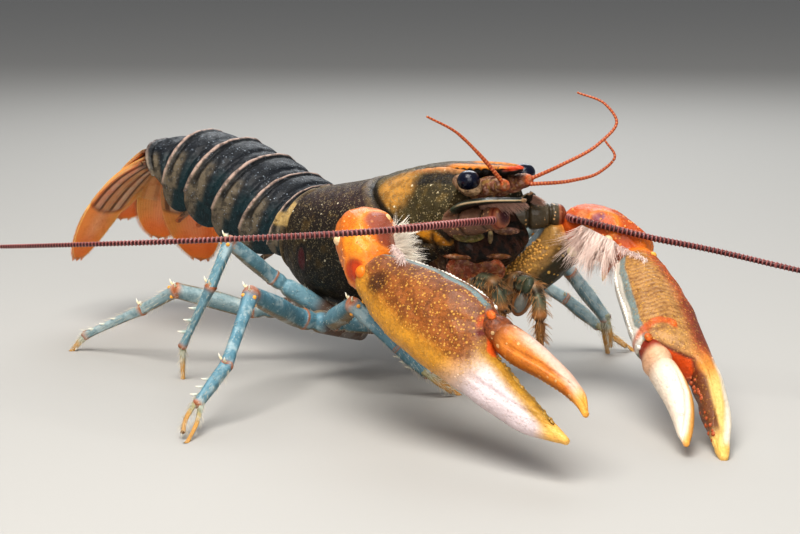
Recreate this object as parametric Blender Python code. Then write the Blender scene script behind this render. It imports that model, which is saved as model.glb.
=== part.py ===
"""A male tiger crayfish, life size, standing with its claws reaching forward and its tail held up.

Lengths are in millimetres in an animal frame: +X is forward, +Y is the animal's left, +Z is up,
and the point of the rostrum stands over X 0, Y 0. The last section moves the whole animal so that
its box stands centred on the origin, and scales it to metres.
"""
import math
import random

import bmesh
import bpy
import numpy as np
from mathutils import Matrix, Vector

for old in list(bpy.data.objects):
    bpy.data.objects.remove(old, do_unlink=True)

# Driving dimensions.
MM = 0.001
GAP = 0.3                    # clearance between neighbouring pieces
FLOOR = 0.0                  # the level that feet and claw tips stand on
TIP_DIP = 0.25               # how far a foot is modelled below the floor before it is cut flat
ORIGIN_SHIFT = (5.2, 2.1)  # moves the middle of the animal's box onto the origin

EYE_RADIUS = 1.7
EYE_REACH = {"right": 6.0, "left": 5.0}
CHELA_LENGTH = {"right": 43.5, "left": 45.0}
CHELA_GIRTH = {"right": 1.0, "left": 0.9}
ANTENNA_RADIUS = (0.56, 0.27)
SIDES = {"right": -1.0, "left": 1.0}


# Smooth curves and frames.
def spline(rows, count):
    """Rows read evenly off a smooth curve that runs through the given rows of numbers."""
    rows = np.array(rows, float)
    step = np.linalg.norm(np.diff(rows[:, :3], axis=0), axis=1)
    at = np.concatenate([[0.0], np.cumsum(step)])
    slope = np.gradient(rows, at, axis=0)
    out = []
    for place in np.linspace(0.0, at[-1], count):
        i = min(int(np.searchsorted(at, place, side="right")) - 1, len(at) - 2)
        span = at[i + 1] - at[i]
        u = (place - at[i]) / span
        value = rows[i] * (1 + 2 * u) * (1 - u) ** 2 + rows[i + 1] * u * u * (3 - 2 * u)
        value = value + slope[i] * span * u * (1 - u) ** 2 + slope[i + 1] * span * u * u * (u - 1)
        out.append(value)
    return np.array(out)


def unit(vector):
    vector = np.array(vector, float)
    return vector / np.linalg.norm(vector)


def frames(points, side):
    """Tangent, width and height axes along a path, with the width axis kept close to side."""
    tangents = np.gradient(points, axis=0)
    out = []
    for tangent in tangents:
        t = unit(tangent)
        w = unit(np.array(side) - np.dot(side, t) * t)
        out.append((t, w, np.cross(t, w)))
    return out


def oval(sides, power):
    """Corners of a rounded section: power 2 is an ellipse and more is boxier."""
    out = []
    for k in range(sides):
        angle = 2 * math.pi * (k + 0.5) / sides
        c = math.cos(angle)
        s = math.sin(angle)
        out.append((math.copysign(abs(c) ** (2 / power), c), math.copysign(abs(s) ** (2 / power), s)))
    return out


# Closed forms, each a pair of vertices and faces.
def skin_rings(rings, first_pole=None, last_pole=None):
    """Quads between rings of equal length, closed by a fan to each pole or by a flat face."""
    count = len(rings[0])
    verts = [tuple(p) for ring in rings for p in ring]
    faces = []
    for r in range(len(rings) - 1):
        for k in range(count):
            a = r * count + k
            b = r * count + (k + 1) % count
            faces.append((a, b, b + count, a + count))
    end = (len(rings) - 1) * count
    if first_pole is None:
        faces.append(tuple(range(count - 1, -1, -1)))
        faces.append(tuple(range(end, end + count)))
        return verts, faces
    verts.append(tuple(first_pole))
    verts.append(tuple(last_pole))
    top = len(verts) - 2
    for k in range(count):
        faces.append((top, (k + 1) % count, k))
        faces.append((top + 1, end + k, end + (k + 1) % count))
    return verts, faces


def limb(rows, side, sides=8, rings=6, power=2.2, blunt=(0.7, 0.7)):
    """A tapering limb along rows of x, y, z, half width, half height, with rounded ends."""
    data = spline(rows, rings)
    axes = frames(data[:, :3], side)
    corners = oval(sides, power)
    stations = []
    for row, axis in zip(data, axes):
        stations.append((row[:3], axis, row[3], row[4]))
    out = []
    first = stations[0]
    last = stations[-1]
    first_depth = blunt[0] * (first[2] + first[3]) / 2
    last_depth = blunt[1] * (last[2] + last[3]) / 2
    ends = []
    for station, depth, sign in ((first, first_depth, -1), (last, last_depth, 1)):
        place, axis, width, height = station
        ends.append((place + axis[0] * depth * 0.7 * sign, axis, width * 0.72, height * 0.72))
        ends.append(place + axis[0] * depth * sign)
    stations = [ends[0]] + stations + [ends[2]]
    for place, axis, width, height in stations:
        ring = [place + axis[1] * width * c + axis[2] * height * s for c, s in corners]
        out.append(ring)
    return skin_rings(out, ends[1], ends[3])


def ball(centre, radii, axis=(1, 0, 0), side=(0, 1, 0), sides=12, rings=7):
    """An ellipsoid with its first radius along axis."""
    axis = unit(axis)
    side = unit(np.array(side) - np.dot(side, axis) * axis)
    up = np.cross(axis, side)
    out = []
    for r in range(1, rings):
        angle = math.pi * r / rings
        ring = []
        for k in range(sides):
            turn = 2 * math.pi * k / sides
            p = np.array(centre) - axis * radii[0] * math.cos(angle)
            p = p + side * radii[1] * math.sin(angle) * math.cos(turn)
            ring.append(p + up * radii[2] * math.sin(angle) * math.sin(turn))
        out.append(ring)
    return skin_rings(out, np.array(centre) - axis * radii[0], np.array(centre) + axis * radii[0])


def spike(path, radius, sides=4):
    """A spine or a lock of bristles: its root is the first point, and it tapers to the last."""
    path = np.array(path, float)
    along = unit(path[-1] - path[0])
    side = unit(np.cross(along, (0.31, 0.52, 0.79)))
    up = np.cross(along, side)
    rings = []
    for i, point in enumerate(path[:-1]):
        size = radius * (1 - 0.35 * i)
        ring = []
        for k in range(sides):
            turn = 2 * math.pi * k / sides
            ring.append(point + (side * math.cos(turn) + up * math.sin(turn)) * size)
        rings.append(ring)
    return skin_rings(rings, path[0] - along * radius * 0.3, path[-1])


def blade(half_width, place, thickness, columns=7, rows=9, rim=0.6, ridge=0.25):
    """A thin plate with a raised middle rib: half_width gives its width at each u, and place
    puts (u, v) in space."""
    half = []
    grid = []
    for i in range(rows):
        u = math.sin(math.pi / 2 * i / (rows - 1))
        high = half_width(u)
        low = -high
        line = []
        thick = []
        for j in range(columns):
            f = j / (columns - 1)
            line.append(place(u, low + (high - low) * f))
            edge = min(f, 1 - f, 1 - u) * 4
            rib = ridge * (1 - u) if j == columns // 2 else 0.0
            thick.append(thickness * (rim + (1 - rim) * min(1.0, edge)) / 2 + rib)
        grid.append(line)
        half.append(thick)
    grid = np.array(grid)
    du = np.gradient(grid, axis=0)
    dv = np.gradient(grid, axis=1)
    normal = np.cross(du, dv)
    normal = normal / np.linalg.norm(normal, axis=2, keepdims=True)
    lift = normal * np.array(half)[:, :, None]
    top = (grid + lift).reshape(-1, 3)
    under = (grid - lift).reshape(-1, 3)
    count = rows * columns
    verts = [tuple(p) for p in top] + [tuple(p) for p in under]
    faces = []
    for i in range(rows - 1):
        for j in range(columns - 1):
            a = i * columns + j
            b = a + 1
            c = a + columns + 1
            d = a + columns
            faces += [(a, c, b), (a, d, c)]
            faces += [(a + count, b + count, c + count), (a + count, c + count, d + count)]
    border = [j for j in range(columns)]
    border += [i * columns + columns - 1 for i in range(1, rows)]
    border += [(rows - 1) * columns + j for j in range(columns - 2, -1, -1)]
    border += [i * columns for i in range(rows - 2, 0, -1)]
    for k in range(len(border)):
        a = border[k]
        b = border[(k + 1) % len(border)]
        faces += [(a, b, b + count), (a, b + count, a + count)]
    return verts, faces


# Solids from the forms.
def solid(name, form):
    """An object with the form's mesh in millimetres, its faces turned outwards."""
    verts, faces = form
    mesh = bpy.data.meshes.new(name)
    mesh.from_pydata([Vector(v) for v in verts], [], faces)
    work = bmesh.new()
    work.from_mesh(mesh)
    bmesh.ops.recalc_face_normals(work, faces=work.faces)
    if work.calc_volume(signed=True) < 0:
        bmesh.ops.reverse_faces(work, faces=work.faces)
    work.to_mesh(mesh)
    work.free()
    obj = bpy.data.objects.new(name, mesh)
    bpy.context.collection.objects.link(obj)
    return obj


def swollen(form, amount=GAP):
    """A cutter: the form with every face moved out by the clearance."""
    obj = solid("cutter", form)
    normals = [[] for _ in obj.data.vertices]
    for face in obj.data.polygons:
        for index in face.vertices:
            normals[index].append(tuple(face.normal))
    for vertex, around in zip(obj.data.vertices, normals):
        push = np.linalg.pinv(np.array(around), rcond=0.2) @ np.full(len(around), amount)
        size = np.linalg.norm(push)
        push = push * min(1.0, 2.0 * amount / size)
        vertex.co = vertex.co + Vector(push)
    return obj


def bake_modifiers(obj):
    """Replace the object's mesh with the one that its modifiers give."""
    bpy.context.view_layer.update()
    graph = bpy.context.evaluated_depsgraph_get()
    mesh = bpy.data.meshes.new_from_object(obj.evaluated_get(graph))
    obj.modifiers.clear()
    obj.data = mesh


def keep_largest(obj):
    """Keep only the largest closed surface of the mesh."""
    work = bmesh.new()
    work.from_mesh(obj.data)
    left = set(work.faces)
    groups = []
    while left:
        seed = left.pop()
        group = {seed}
        stack = [seed]
        while stack:
            face = stack.pop()
            for edge in face.edges:
                if len(edge.link_faces) > 2:
                    continue
                for other in edge.link_faces:
                    if other in left:
                        left.remove(other)
                        group.add(other)
                        stack.append(other)
        groups.append(group)
    groups.sort(key=lambda g: sum(f.calc_area() for f in g), reverse=True)
    for group in groups[1:]:
        bmesh.ops.delete(work, geom=list(group), context="FACES")
    loose = [v for v in work.verts if not v.link_faces]
    bmesh.ops.delete(work, geom=loose, context="VERTS")
    work.to_mesh(obj.data)
    work.free()


def cut(obj, cutters, solver="EXACT"):
    """Take the cutters out of the object."""
    for cutter in cutters:
        tool = obj.modifiers.new("cut", "BOOLEAN")
        tool.operation = "DIFFERENCE"
        tool.solver = solver
        tool.object = cutter
        bake_modifiers(obj)
        bpy.data.objects.remove(cutter, do_unlink=True)
    keep_largest(obj)


def fuse(obj, forms, solver="EXACT"):
    """Join closed forms to the object in one union."""
    group = bpy.data.collections.new("pieces")
    bpy.context.scene.collection.children.link(group)
    for form in forms:
        piece = solid("piece", form)
        bpy.context.collection.objects.unlink(piece)
        group.objects.link(piece)
    tool = obj.modifiers.new("join", "BOOLEAN")
    tool.operation = "UNION"
    tool.operand_type = "COLLECTION"
    tool.solver = solver
    tool.collection = group
    bake_modifiers(obj)
    for piece in list(group.objects):
        bpy.data.objects.remove(piece, do_unlink=True)
    bpy.data.collections.remove(group)
    keep_largest(obj)


def floor_block():
    """A wide block whose top is the floor."""
    reach = 200.0
    corners = []
    for z in (FLOOR - 20.0, FLOOR):
        corners += [(-reach, -reach, z), (reach, -reach, z), (reach, reach, z), (-reach, reach, z)]
    faces = [(3, 2, 1, 0), (4, 5, 6, 7), (0, 1, 5, 4), (1, 2, 6, 5), (2, 3, 7, 6), (3, 0, 4, 7)]
    return solid("floor_block", (corners, faces))


def paint(name, colour, roughness):
    material = bpy.data.materials.new(name)
    material.use_nodes = True
    shader = material.node_tree.nodes["Principled BSDF"]
    shader.inputs["Base Color"].default_value = (*colour, 1.0)
    shader.inputs["Roughness"].default_value = roughness
    shader.inputs["Metallic"].default_value = 0.0
    return material


COLOURS = {
    "shell": (0.09, 0.06, 0.035),
    "belly": (0.42, 0.36, 0.28),
    "abdomen": (0.035, 0.04, 0.05),
    "fan": (0.80, 0.30, 0.09),
    "eye": (0.012, 0.012, 0.025),
    "feeler": (0.32, 0.07, 0.05),
    "base": (0.30, 0.22, 0.10),
    "arm": (0.45, 0.30, 0.10),
    "wrist": (0.75, 0.22, 0.04),
    "palm": (0.52, 0.22, 0.05),
    "finger": (0.80, 0.45, 0.18),
    "leg": (0.28, 0.45, 0.50),
    "foot": (0.55, 0.42, 0.20),
    "mouth": (0.30, 0.14, 0.06),
}
MATERIALS = {name: paint(name, colour, 0.35) for name, colour in COLOURS.items()}
NODES = []
FORMS = {}


def boxes_meet(one, other):
    """Whether the boxes of two forms come within the clearance of each other."""
    a = np.array(one[0])
    b = np.array(other[0])
    apart = np.maximum(a.min(axis=0) - b.max(axis=0), b.min(axis=0) - a.max(axis=0))
    return bool((apart < GAP).all())


def node(name, form, colour, grounded=False, extra=(), solver="EXACT"):
    """One named piece with its small forms, cut clear of the pieces made before it."""
    own = [form, *extra]
    cutters = []
    for others in FORMS.values():
        for other in others:
            if any(boxes_meet(other, mine) for mine in own):
                cutters.append(swollen(other))
    if grounded:
        cutters.append(floor_block())
    FORMS[name] = own
    obj = solid(name, form)
    if extra:
        fuse(obj, extra, solver)
    cut(obj, cutters)
    obj.data.materials.clear()
    obj.data.materials.append(MATERIALS[colour])
    obj.data.shade_smooth()
    obj.data.set_sharp_from_angle(angle=math.radians(50))
    NODES.append(obj)
    return obj


# The thorax: sternum, leg sockets and the face, wrapped by the carapace.
THORAX_ROWS = [
    # x, bottom z, top z, half width
    (-50.0, 14.5, 22.0, 5.5),
    (-44.0, 9.6, 22.0, 6.4),
    (-35.0, 7.8, 22.0, 6.6),
    (-26.0, 8.6, 24.0, 6.6),
    (-18.0, 11.8, 26.5, 6.6),
    (-12.0, 16.5, 29.0, 6.9),
    (-7.6, 20.0, 31.0, 6.9),
]


def thorax_form():
    rows = [(x, 0.0, (low + high) / 2, half, (high - low) / 2) for x, low, high, half in THORAX_ROWS]
    return limb(rows, (0, 1, 0), sides=14, rings=10, power=2.6, blunt=(0.2, 0.15))


node("thorax", thorax_form(), "belly")

# The carapace: one saddle-shaped shell from the neck joint to the rostrum.
CARAPACE_ROWS = [
    # x, top z, bottom z, half width
    (-46.2, 26.8, 12.5, 9.2),
    (-43.0, 27.6, 10.0, 10.2),
    (-37.0, 28.9, 8.9, 11.2),
    (-30.0, 30.6, 9.8, 11.0),
    (-24.0, 32.4, 12.2, 10.4),
    (-18.0, 33.7, 15.2, 9.7),
    (-12.5, 34.0, 18.2, 8.9),
    (-8.3, 33.6, 20.4, 8.1),
]
CARAPACE_SIDES = 22


def carapace_ring(x, top, low, half):
    """A domed section: widest a little below the middle, drawn in at the lower edges."""
    centre = low + (top - low) * 0.46
    ring = []
    for k in range(CARAPACE_SIDES):
        angle = 2 * math.pi * (k + 0.5) / CARAPACE_SIDES
        c = math.cos(angle)
        s = math.sin(angle)
        width = half * math.copysign(abs(c) ** 0.92, c)
        if s > 0:
            z = centre + (top - centre) * abs(s) ** 0.96
        else:
            z = centre - (centre - low) * abs(s) ** 0.80
            width = width * (1 - 0.12 * s * s)
        ring.append((x, width, z))
    return ring


def carapace_form():
    rows = [(x, 0.0, 0.0, top, low, half) for x, top, low, half in CARAPACE_ROWS]
    data = spline(rows, 17)
    rings = []
    for x, _, _, top, low, half in data:
        rings.append(carapace_ring(x, top, low, half))
    first = (data[0][0] - 0.3, 0.0, (data[0][3] + data[0][4]) / 2)
    last = (data[-1][0] + 0.5, 0.0, (data[-1][3] + data[-1][4]) / 2)
    return skin_rings(rings, first, last)


def rostrum_form():
    """The flat beak between the eyes, with its edges raised a little."""
    rows = [
        (-17.5, 0.0, 32.8, 4.0, 1.1),
        (-11.0, 0.0, 33.4, 3.3, 1.1),
        (-5.5, 0.0, 33.9, 2.6, 0.9),
        (-2.8, 0.0, 34.2, 1.4, 0.65),
        (-1.6, 0.0, 34.4, 0.55, 0.4),
    ]
    return limb(rows, (0, 1, 0), sides=8, rings=7, power=2.6, blunt=(0.5, 0.9))


node("carapace", carapace_form(), "shell", extra=[rostrum_form()])

# The abdomen: six overlapping rings that rise behind the carapace and curl down.
ABDOMEN_BACK = [
    # dorsal point of each hind edge, half width, arch height, side plate depth, rise and turn in degrees
    (-45.0, 0.0, 26.2, 9.3, 8.6, 1.5, 8.0, 2.0),
    (-47.4, 0.0, 26.8, 9.6, 8.8, 2.0, 14.0, 3.0),
    (-52.4, -0.7, 28.4, 9.9, 8.9, 4.6, 24.0, 6.0),
    (-58.5, -1.7, 31.0, 9.9, 8.9, 4.6, 25.0, 9.0),
    (-65.2, -3.0, 33.2, 9.7, 8.7, 4.4, 23.0, 11.0),
    (-72.6, -4.7, 34.0, 9.1, 8.2, 4.0, 12.0, 15.0),
    (-81.2, -7.9, 31.7, 7.0, 5.8, 1.6, -36.0, 20.0),
]


def abdomen_axes():
    """Axes at the hind edge of each ring: backwards, to the side and up."""
    out = []
    for row in ABDOMEN_BACK:
        rise = math.radians(row[6])
        turn = math.radians(row[7])
        back = np.array((-math.cos(rise) * math.cos(turn), -math.cos(rise) * math.sin(turn), math.sin(rise)))
        across = unit(np.cross((0, 0, 1), back))
        out.append((back, across, np.cross(back, across)))
    return out


def abdomen_ring(place, axes, half, arch, plate):
    """An arched section with a side plate hanging at each end and a hollowed underside."""
    t, w, up = axes
    shoulder = np.array(place) - up * arch
    ring = []
    arc_count = 11
    for k in range(arc_count):
        angle = math.pi * k / (arc_count - 1)
        c = math.cos(angle)
        s = math.sin(angle)
        y = half * math.copysign(abs(c) ** 0.9, c)
        ring.append(shoulder + w * y + up * arch * s ** 0.95)
    tip = half * 0.93
    inner = half - 2.2
    belly = 2.4
    left = shoulder - w * tip - up * plate
    right = shoulder + w * tip - up * plate
    ring.append(left)
    ring.append(shoulder - w * (tip - 1.0) - up * (plate - 0.1))
    ring.append(shoulder - w * inner - up * min(belly, plate * 0.8))
    ring.append(shoulder - w * inner * 0.6 - up * belly)
    ring.append(shoulder - up * (belly + 0.3))
    ring.append(shoulder + w * inner * 0.6 - up * belly)
    ring.append(shoulder + w * inner - up * min(belly, plate * 0.8))
    ring.append(shoulder + w * (tip - 1.0) - up * (plate - 0.1))
    ring.append(right)
    return ring


def abdomen_form(index):
    """Ring index runs from under the edge in front of it to its own flared hind edge."""
    rows = np.array(ABDOMEN_BACK, float)
    axes = abdomen_axes()
    front = rows[index - 1]
    rear = rows[index]
    rings = []
    inset = 0.9
    under = (front[:3] - axes[index - 1][0] * 1.5) - axes[index - 1][2] * inset
    stations = [(0.0, 1.0, 0.25), (0.22, 0.55, 0.7), (0.5, 0.25, 1.0), (0.8, 0.05, 0.95), (1.0, 0.0, 0.6)]
    for f, sunk, hang in stations:
        place = under * (1 - f) + rear[:3] * f
        bow = 0.5 * math.sin(math.pi * f)
        axis = []
        for k in range(3):
            axis.append(unit(axes[index - 1][k] * (1 - f) + axes[index][k] * f))
        place = place + axis[2] * bow
        half = front[3] * (1 - f) + rear[3] * f - inset * sunk
        arch = front[4] * (1 - f) + rear[4] * f - inset * sunk
        plate = (front[5] * (1 - f) + rear[5] * f) * hang
        rings.append(abdomen_ring(place, axis, half, arch, max(plate, 0.6)))
    return skin_rings(rings)


SWIMMERET_LENGTH = 6.0
SWIMMERET_RINGS = (2, 3, 4, 5)


def swimmerets(index):
    """The pair of small flat limbs that hangs under a tail ring."""
    back, across, up = abdomen_axes()[index]
    row = ABDOMEN_BACK[index]
    middle = np.array(row[:3]) - up * row[4] - back * 3.1
    forms = []
    for sign in SIDES.values():
        rows = []
        for f in (0.0, 0.5, 1.0):
            point = middle + across * sign * (2.5 + 1.2 * f) - up * (1.2 + SWIMMERET_LENGTH * f)
            point = point + back * 2.6 * f * f
            rows.append((*point, 0.7 + 0.45 * math.sin(math.pi * f), 0.4))
        forms.append(limb(rows, tuple(across), sides=6, rings=4, power=2.0))
    return forms


for index in range(1, 7):
    small = swimmerets(index) if index in SWIMMERET_RINGS else []
    node(f"abdomen_{index}", abdomen_form(index), "abdomen", extra=small)

# The tail fan: the telson and two uropods a side, spread and cupped downwards.
FAN_AXIS = unit((-0.86, 0.05, -0.51))
FAN_LEAN = np.array((0.06, 1.0, -0.15))      # the fan's left side hangs a little lower
FAN_SIDE = unit(FAN_LEAN - np.dot(FAN_LEAN, FAN_AXIS) * FAN_AXIS)
FAN_UP = np.cross(FAN_SIDE, FAN_AXIS)
FAN_ROOT = np.array((-80.2, -7.6, 30.0))
FAN_CUP = 0.030              # how fast the fan falls away from its middle line
FAN_REACH = 20.0
FAN_CURL = 5.2               # how far the tips curl down at that reach
FAN_SPREAD = {"right": (13.0, 22.0), "left": (16.0, 31.0)}
INNER_LENGTH = {"right": 17.8, "left": 20.0}
OUTER_BLADE = {"right": (19.0, 4.2, 9.0), "left": (21.0, 5.0, 5.2)}    # length, half width, curl


def fan_place(spread, drop, root_side, length, curl=FAN_CURL):
    """Placement of a fan plate: turned by spread, a layer lower by drop, cupped with the whole fan."""
    turn = math.radians(spread)

    def place(u, v):
        along = u * length * math.cos(turn) - v * math.sin(turn)
        across = root_side + u * length * math.sin(turn) + v * math.cos(turn)
        reach = max(0.0, along / FAN_REACH)
        fall = FAN_CUP * across * across * (0.35 + 0.65 * reach) + curl * reach * reach + drop
        return FAN_ROOT + FAN_AXIS * along + FAN_SIDE * across - FAN_UP * fall

    return place


def fan_half(width, base):
    """Half width of a fan plate that widens from its base and ends round."""
    def half(u):
        if u < 0.6:
            return base + (width - base) * math.sin(u / 0.6 * math.pi / 2)
        return width * math.sqrt(max(0.03, 1 - ((u - 0.6) / 0.41) ** 2))
    return half


telson_form = blade(fan_half(5.4, 4.0), fan_place(0, 0.0, 0.0, 18.5), 1.1)
node("telson", telson_form, "fan")
for side, sign in SIDES.items():
    near, far = FAN_SPREAD[side]
    inner = blade(fan_half(4.6, 2.2), fan_place(near * sign, 1.35, 1.6 * sign, INNER_LENGTH[side]), 0.9)
    length, width, curl = OUTER_BLADE[side]
    outer = blade(fan_half(width, 2.4), fan_place(far * sign, 2.6, 3.2 * sign, length, curl), 0.9)
    node(f"uropod_{side}_inner", inner, "fan")
    node(f"uropod_{side}_outer", outer, "fan")

# Eyes on short stalks under the edge of the rostrum.
for side, sign in SIDES.items():
    reach = EYE_REACH[side]
    stalk = limb([(-9.6, (reach - 1.7) * sign, 31.9, 1.3, 1.2), (-6.9, (reach - 0.5) * sign, 32.5, 1.5, 1.4)],
                 (0, 0, 1), sides=10, rings=3, blunt=(0.4, 0.4))
    globe = ball((-5.9, reach * sign, 32.9), (1.9, EYE_RADIUS, EYE_RADIUS), (0.8, 0.6 * sign, 0.2),
                 sides=10, rings=7)
    node(f"eye_{side}", globe, "eye", extra=[stalk])

# Antennules: a three-jointed foot and two whips on each side.
ANTENNULE_ROOTS = {"right": (-8.0, -2.4, 31.0), "left": (-8.0, 2.4, 31.0)}
WHIPS = {
    "right": [
        [(-1.2, -3.2, 32.4), (-2.6, -6.5, 36.6), (-4.6, -9.8, 40.4), (-6.6, -13.5, 42.7)],
        [(-1.9, -2.5, 32.4), (-5.1, -4.6, 36.7), (-8.2, -6.6, 39.9)],
    ],
    "left": [
        [(-2.2, 2.6, 32.6), (1.4, 5.8, 34.9), (4.6, 10.3, 38.0), (5.2, 13.2, 41.0), (3.2, 12.8, 43.4),
         (-0.6, 11.0, 44.9)],
        [(-1.8, 2.4, 32.0), (1.6, 7.8, 32.4), (3.4, 11.8, 33.5), (4.6, 13.6, 35.7), (2.8, 13.4, 37.9)],
    ],
}


def whip(points, thick, thin, sides=5, rings=8):
    rows = []
    for k, point in enumerate(points):
        f = k / (len(points) - 1)
        radius = thick + (thin - thick) * f
        rows.append((*point, radius, radius))
    return limb(rows, (0.3, 0.5, 0.8), sides=sides, rings=rings, power=2.0, blunt=(0.5, 1.0))


for side, sign in SIDES.items():
    root = ANTENNULE_ROOTS[side]
    end = WHIPS[side][0][0]
    foot = limb([(*root, 1.7, 1.5), (-4.6, 2.7 * sign, 32.0, 1.45, 1.3), (*end, 1.1, 1.0)], (0, 1, 0),
                sides=8, rings=5)
    strands = [whip(points, 0.42, 0.26) for points in WHIPS[side]]
    node(f"antennule_{side}", foot, "base", extra=strands)

# Antennae: a jointed foot with its flat scale, then a long whip in three lengths.
ANTENNA_FEET = {
    "right": [(-9.4, -6.2, 26.2, 2.1, 2.0), (-4.6, -6.5, 27.2, 2.0, 1.9), (1.3, -6.5, 28.5, 1.55, 1.5)],
    "left": [(-9.4, 6.2, 26.0, 2.1, 2.0), (-6.8, 9.0, 26.1, 2.0, 1.9), (-4.7, 11.7, 26.1, 1.5, 1.5)],
}
SCALES = {
    "right": [(-9.0, -6.6, 27.4, 1.5, 0.9), (-5.0, -7.4, 29.5, 1.9, 0.65), (0.6, -7.6, 30.9, 1.9, 0.5),
              (6.6, -7.2, 31.6, 0.6, 0.35)],
    "left": [(-9.0, 6.4, 27.0, 1.5, 0.9), (-7.4, 6.4, 28.3, 1.7, 0.7), (-5.8, 5.8, 29.2, 1.5, 0.55),
             (-4.4, 5.0, 30.0, 0.6, 0.35)],
}
ANTENNA_PATHS = {
    "right": [(1.9, -8.3, 28.3), (3.2, -20.0, 29.1), (2.8, -32.0, 29.5), (-6.0, -45.6, 29.0),
              (-27.0, -55.6, 26.6), (-50.0, -58.0, 23.4), (-66.0, -58.0, 21.0)],
    "left": [(-3.1, 12.0, 25.9), (-0.6, 10.8, 26.0), (2.4, 12.0, 25.6), (5.9, 14.0, 24.8),
             (8.6, 17.0, 23.8), (13.3, 23.0, 22.2), (26.4, 30.0, 19.7), (45.0, 40.0, 16.5),
             (64.0, 48.5, 14.0), (84.0, 54.0, 13.0)],
}
LENGTHS = 3

for side, sign in SIDES.items():
    foot = limb(ANTENNA_FEET[side], (0, 0, 1), sides=10, rings=5)
    scale = limb(SCALES[side], (0, 1, 0), sides=8, rings=6, power=2.0)
    node(f"antenna_{side}_base", foot, "base", extra=[scale])
    route = spline([(*p, 0, 0) for p in ANTENNA_PATHS[side]], 37)[:, :3]
    radii = np.linspace(ANTENNA_RADIUS[0], ANTENNA_RADIUS[1], len(route))
    share = (len(route) - 1) // LENGTHS
    for part in range(LENGTHS):
        first = part * share
        last = first + share
        rows = [(*route[k], radii[k], radii[k]) for k in range(first, last + 1)]
        form = limb(rows, (0.1, 0.2, 1.0), sides=6, rings=9, power=2.0, blunt=(0.5, 0.5))
        node(f"antenna_{side}_whip_{part + 1}", form, "feeler")

# Third jaw legs, folded under the mouth.
JAW_LEGS = {
    "right": [(-19.0, -3.6, 14.6, 1.9, 1.6), (-12.0, -3.6, 15.4, 2.1, 1.5), (-6.5, -3.4, 17.8, 1.9, 1.5),
              (-3.0, -3.2, 17.4, 1.4, 1.3), (-2.0, -3.0, 13.6, 1.1, 1.0), (-2.6, -2.8, 10.6, 0.7, 0.6)],
    "left": [(-18.5, 3.6, 14.4, 1.9, 1.6), (-10.5, 3.2, 14.6, 2.1, 1.5), (-3.0, 2.2, 17.2, 1.9, 1.6),
             (0.6, 1.6, 16.4, 1.4, 1.3), (2.4, 0.6, 12.4, 1.1, 1.0), (2.4, 0.8, 8.6, 0.7, 0.6)],
}
for side in SIDES:
    form = limb(JAW_LEGS[side], (0, 1, 0), sides=8, rings=12)
    node(f"jaw_leg_{side}", form, "mouth")

# Claws: arm, wrist, palm with the fixed finger, and the moving finger.
ARMS = {
    "right": [(-23.5, -6.2, 12.0, 2.2, 2.2), (-20.0, -9.6, 16.0, 2.9, 2.9), (-15.5, -14.4, 21.0, 3.5, 3.3),
              (-12.5, -18.2, 24.0, 3.5, 3.3)],
    "left": [(-18.5, 5.6, 12.0, 2.2, 2.2), (-13.5, 6.4, 12.6, 2.9, 2.9), (-8.5, 9.6, 17.2, 3.6, 3.4),
             (-4.8, 13.4, 22.4, 3.7, 3.5)],
}
WRISTS = {
    "right": [(-12.0, -19.4, 24.9, 3.6, 3.7), (-10.0, -22.1, 25.9, 4.3, 4.4), (-7.3, -24.1, 24.3, 4.1, 4.0),
              (-5.6, -25.0, 21.8, 3.5, 3.4)],
    "left": [(-4.4, 13.9, 23.3, 3.4, 3.3), (-1.4, 14.9, 23.9, 3.9, 3.8), (2.4, 16.2, 22.7, 3.8, 3.6),
             (5.8, 17.6, 21.0, 3.0, 2.9)],
}
CHELA_FRAMES = {
    # root, tip, and the direction from the fixed finger towards the moving one
    "right": ((-6.5, -25.0, 22.5), (34.0, -25.0, 6.0), (0.310, 0.565, 0.755)),
    "left": ((5.3, 17.8, 20.7), (38.0, -2.0, 1.0), (-0.463, -0.878, 0.123)),
}
PALM_ROWS = {
    # along, lower edge, upper edge, half thickness
    "right": [
        (0.0, -2.6, 2.4, 2.6),
        (2.5, -3.6, 3.4, 3.2),
        (6.5, -4.8, 4.8, 3.8),
        (12.0, -5.5, 6.3, 4.2),
        (18.0, -5.4, 7.1, 4.0),
        (21.6, -5.2, 6.8, 3.6),
        (24.0, -5.0, 4.4, 3.2),
        (26.0, -4.8, 2.3, 2.9),
        (30.0, -4.6, 1.4, 2.5),
        (36.0, -3.9, 0.5, 1.9),
        (40.2, -2.6, -0.1, 1.3),
        (43.0, -1.3, -0.4, 0.6),
    ],
    "left": [
        (0.0, -2.3, 2.5, 2.6),
        (2.5, -2.9, 3.8, 3.2),
        (6.5, -3.8, 5.2, 3.8),
        (12.0, -4.9, 5.6, 4.2),
        (18.0, -5.3, 5.9, 4.0),
        (21.6, -5.3, 5.7, 3.5),
        (23.6, -5.3, 2.9, 3.2),
        (25.6, -5.3, -0.2, 2.9),
        (29.5, -5.3, -0.9, 2.5),
        (34.0, -4.8, -0.5, 2.0),
        (38.5, -3.4, -0.3, 1.4),
        (43.0, -1.6, -0.3, 0.6),
    ],
}
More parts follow.
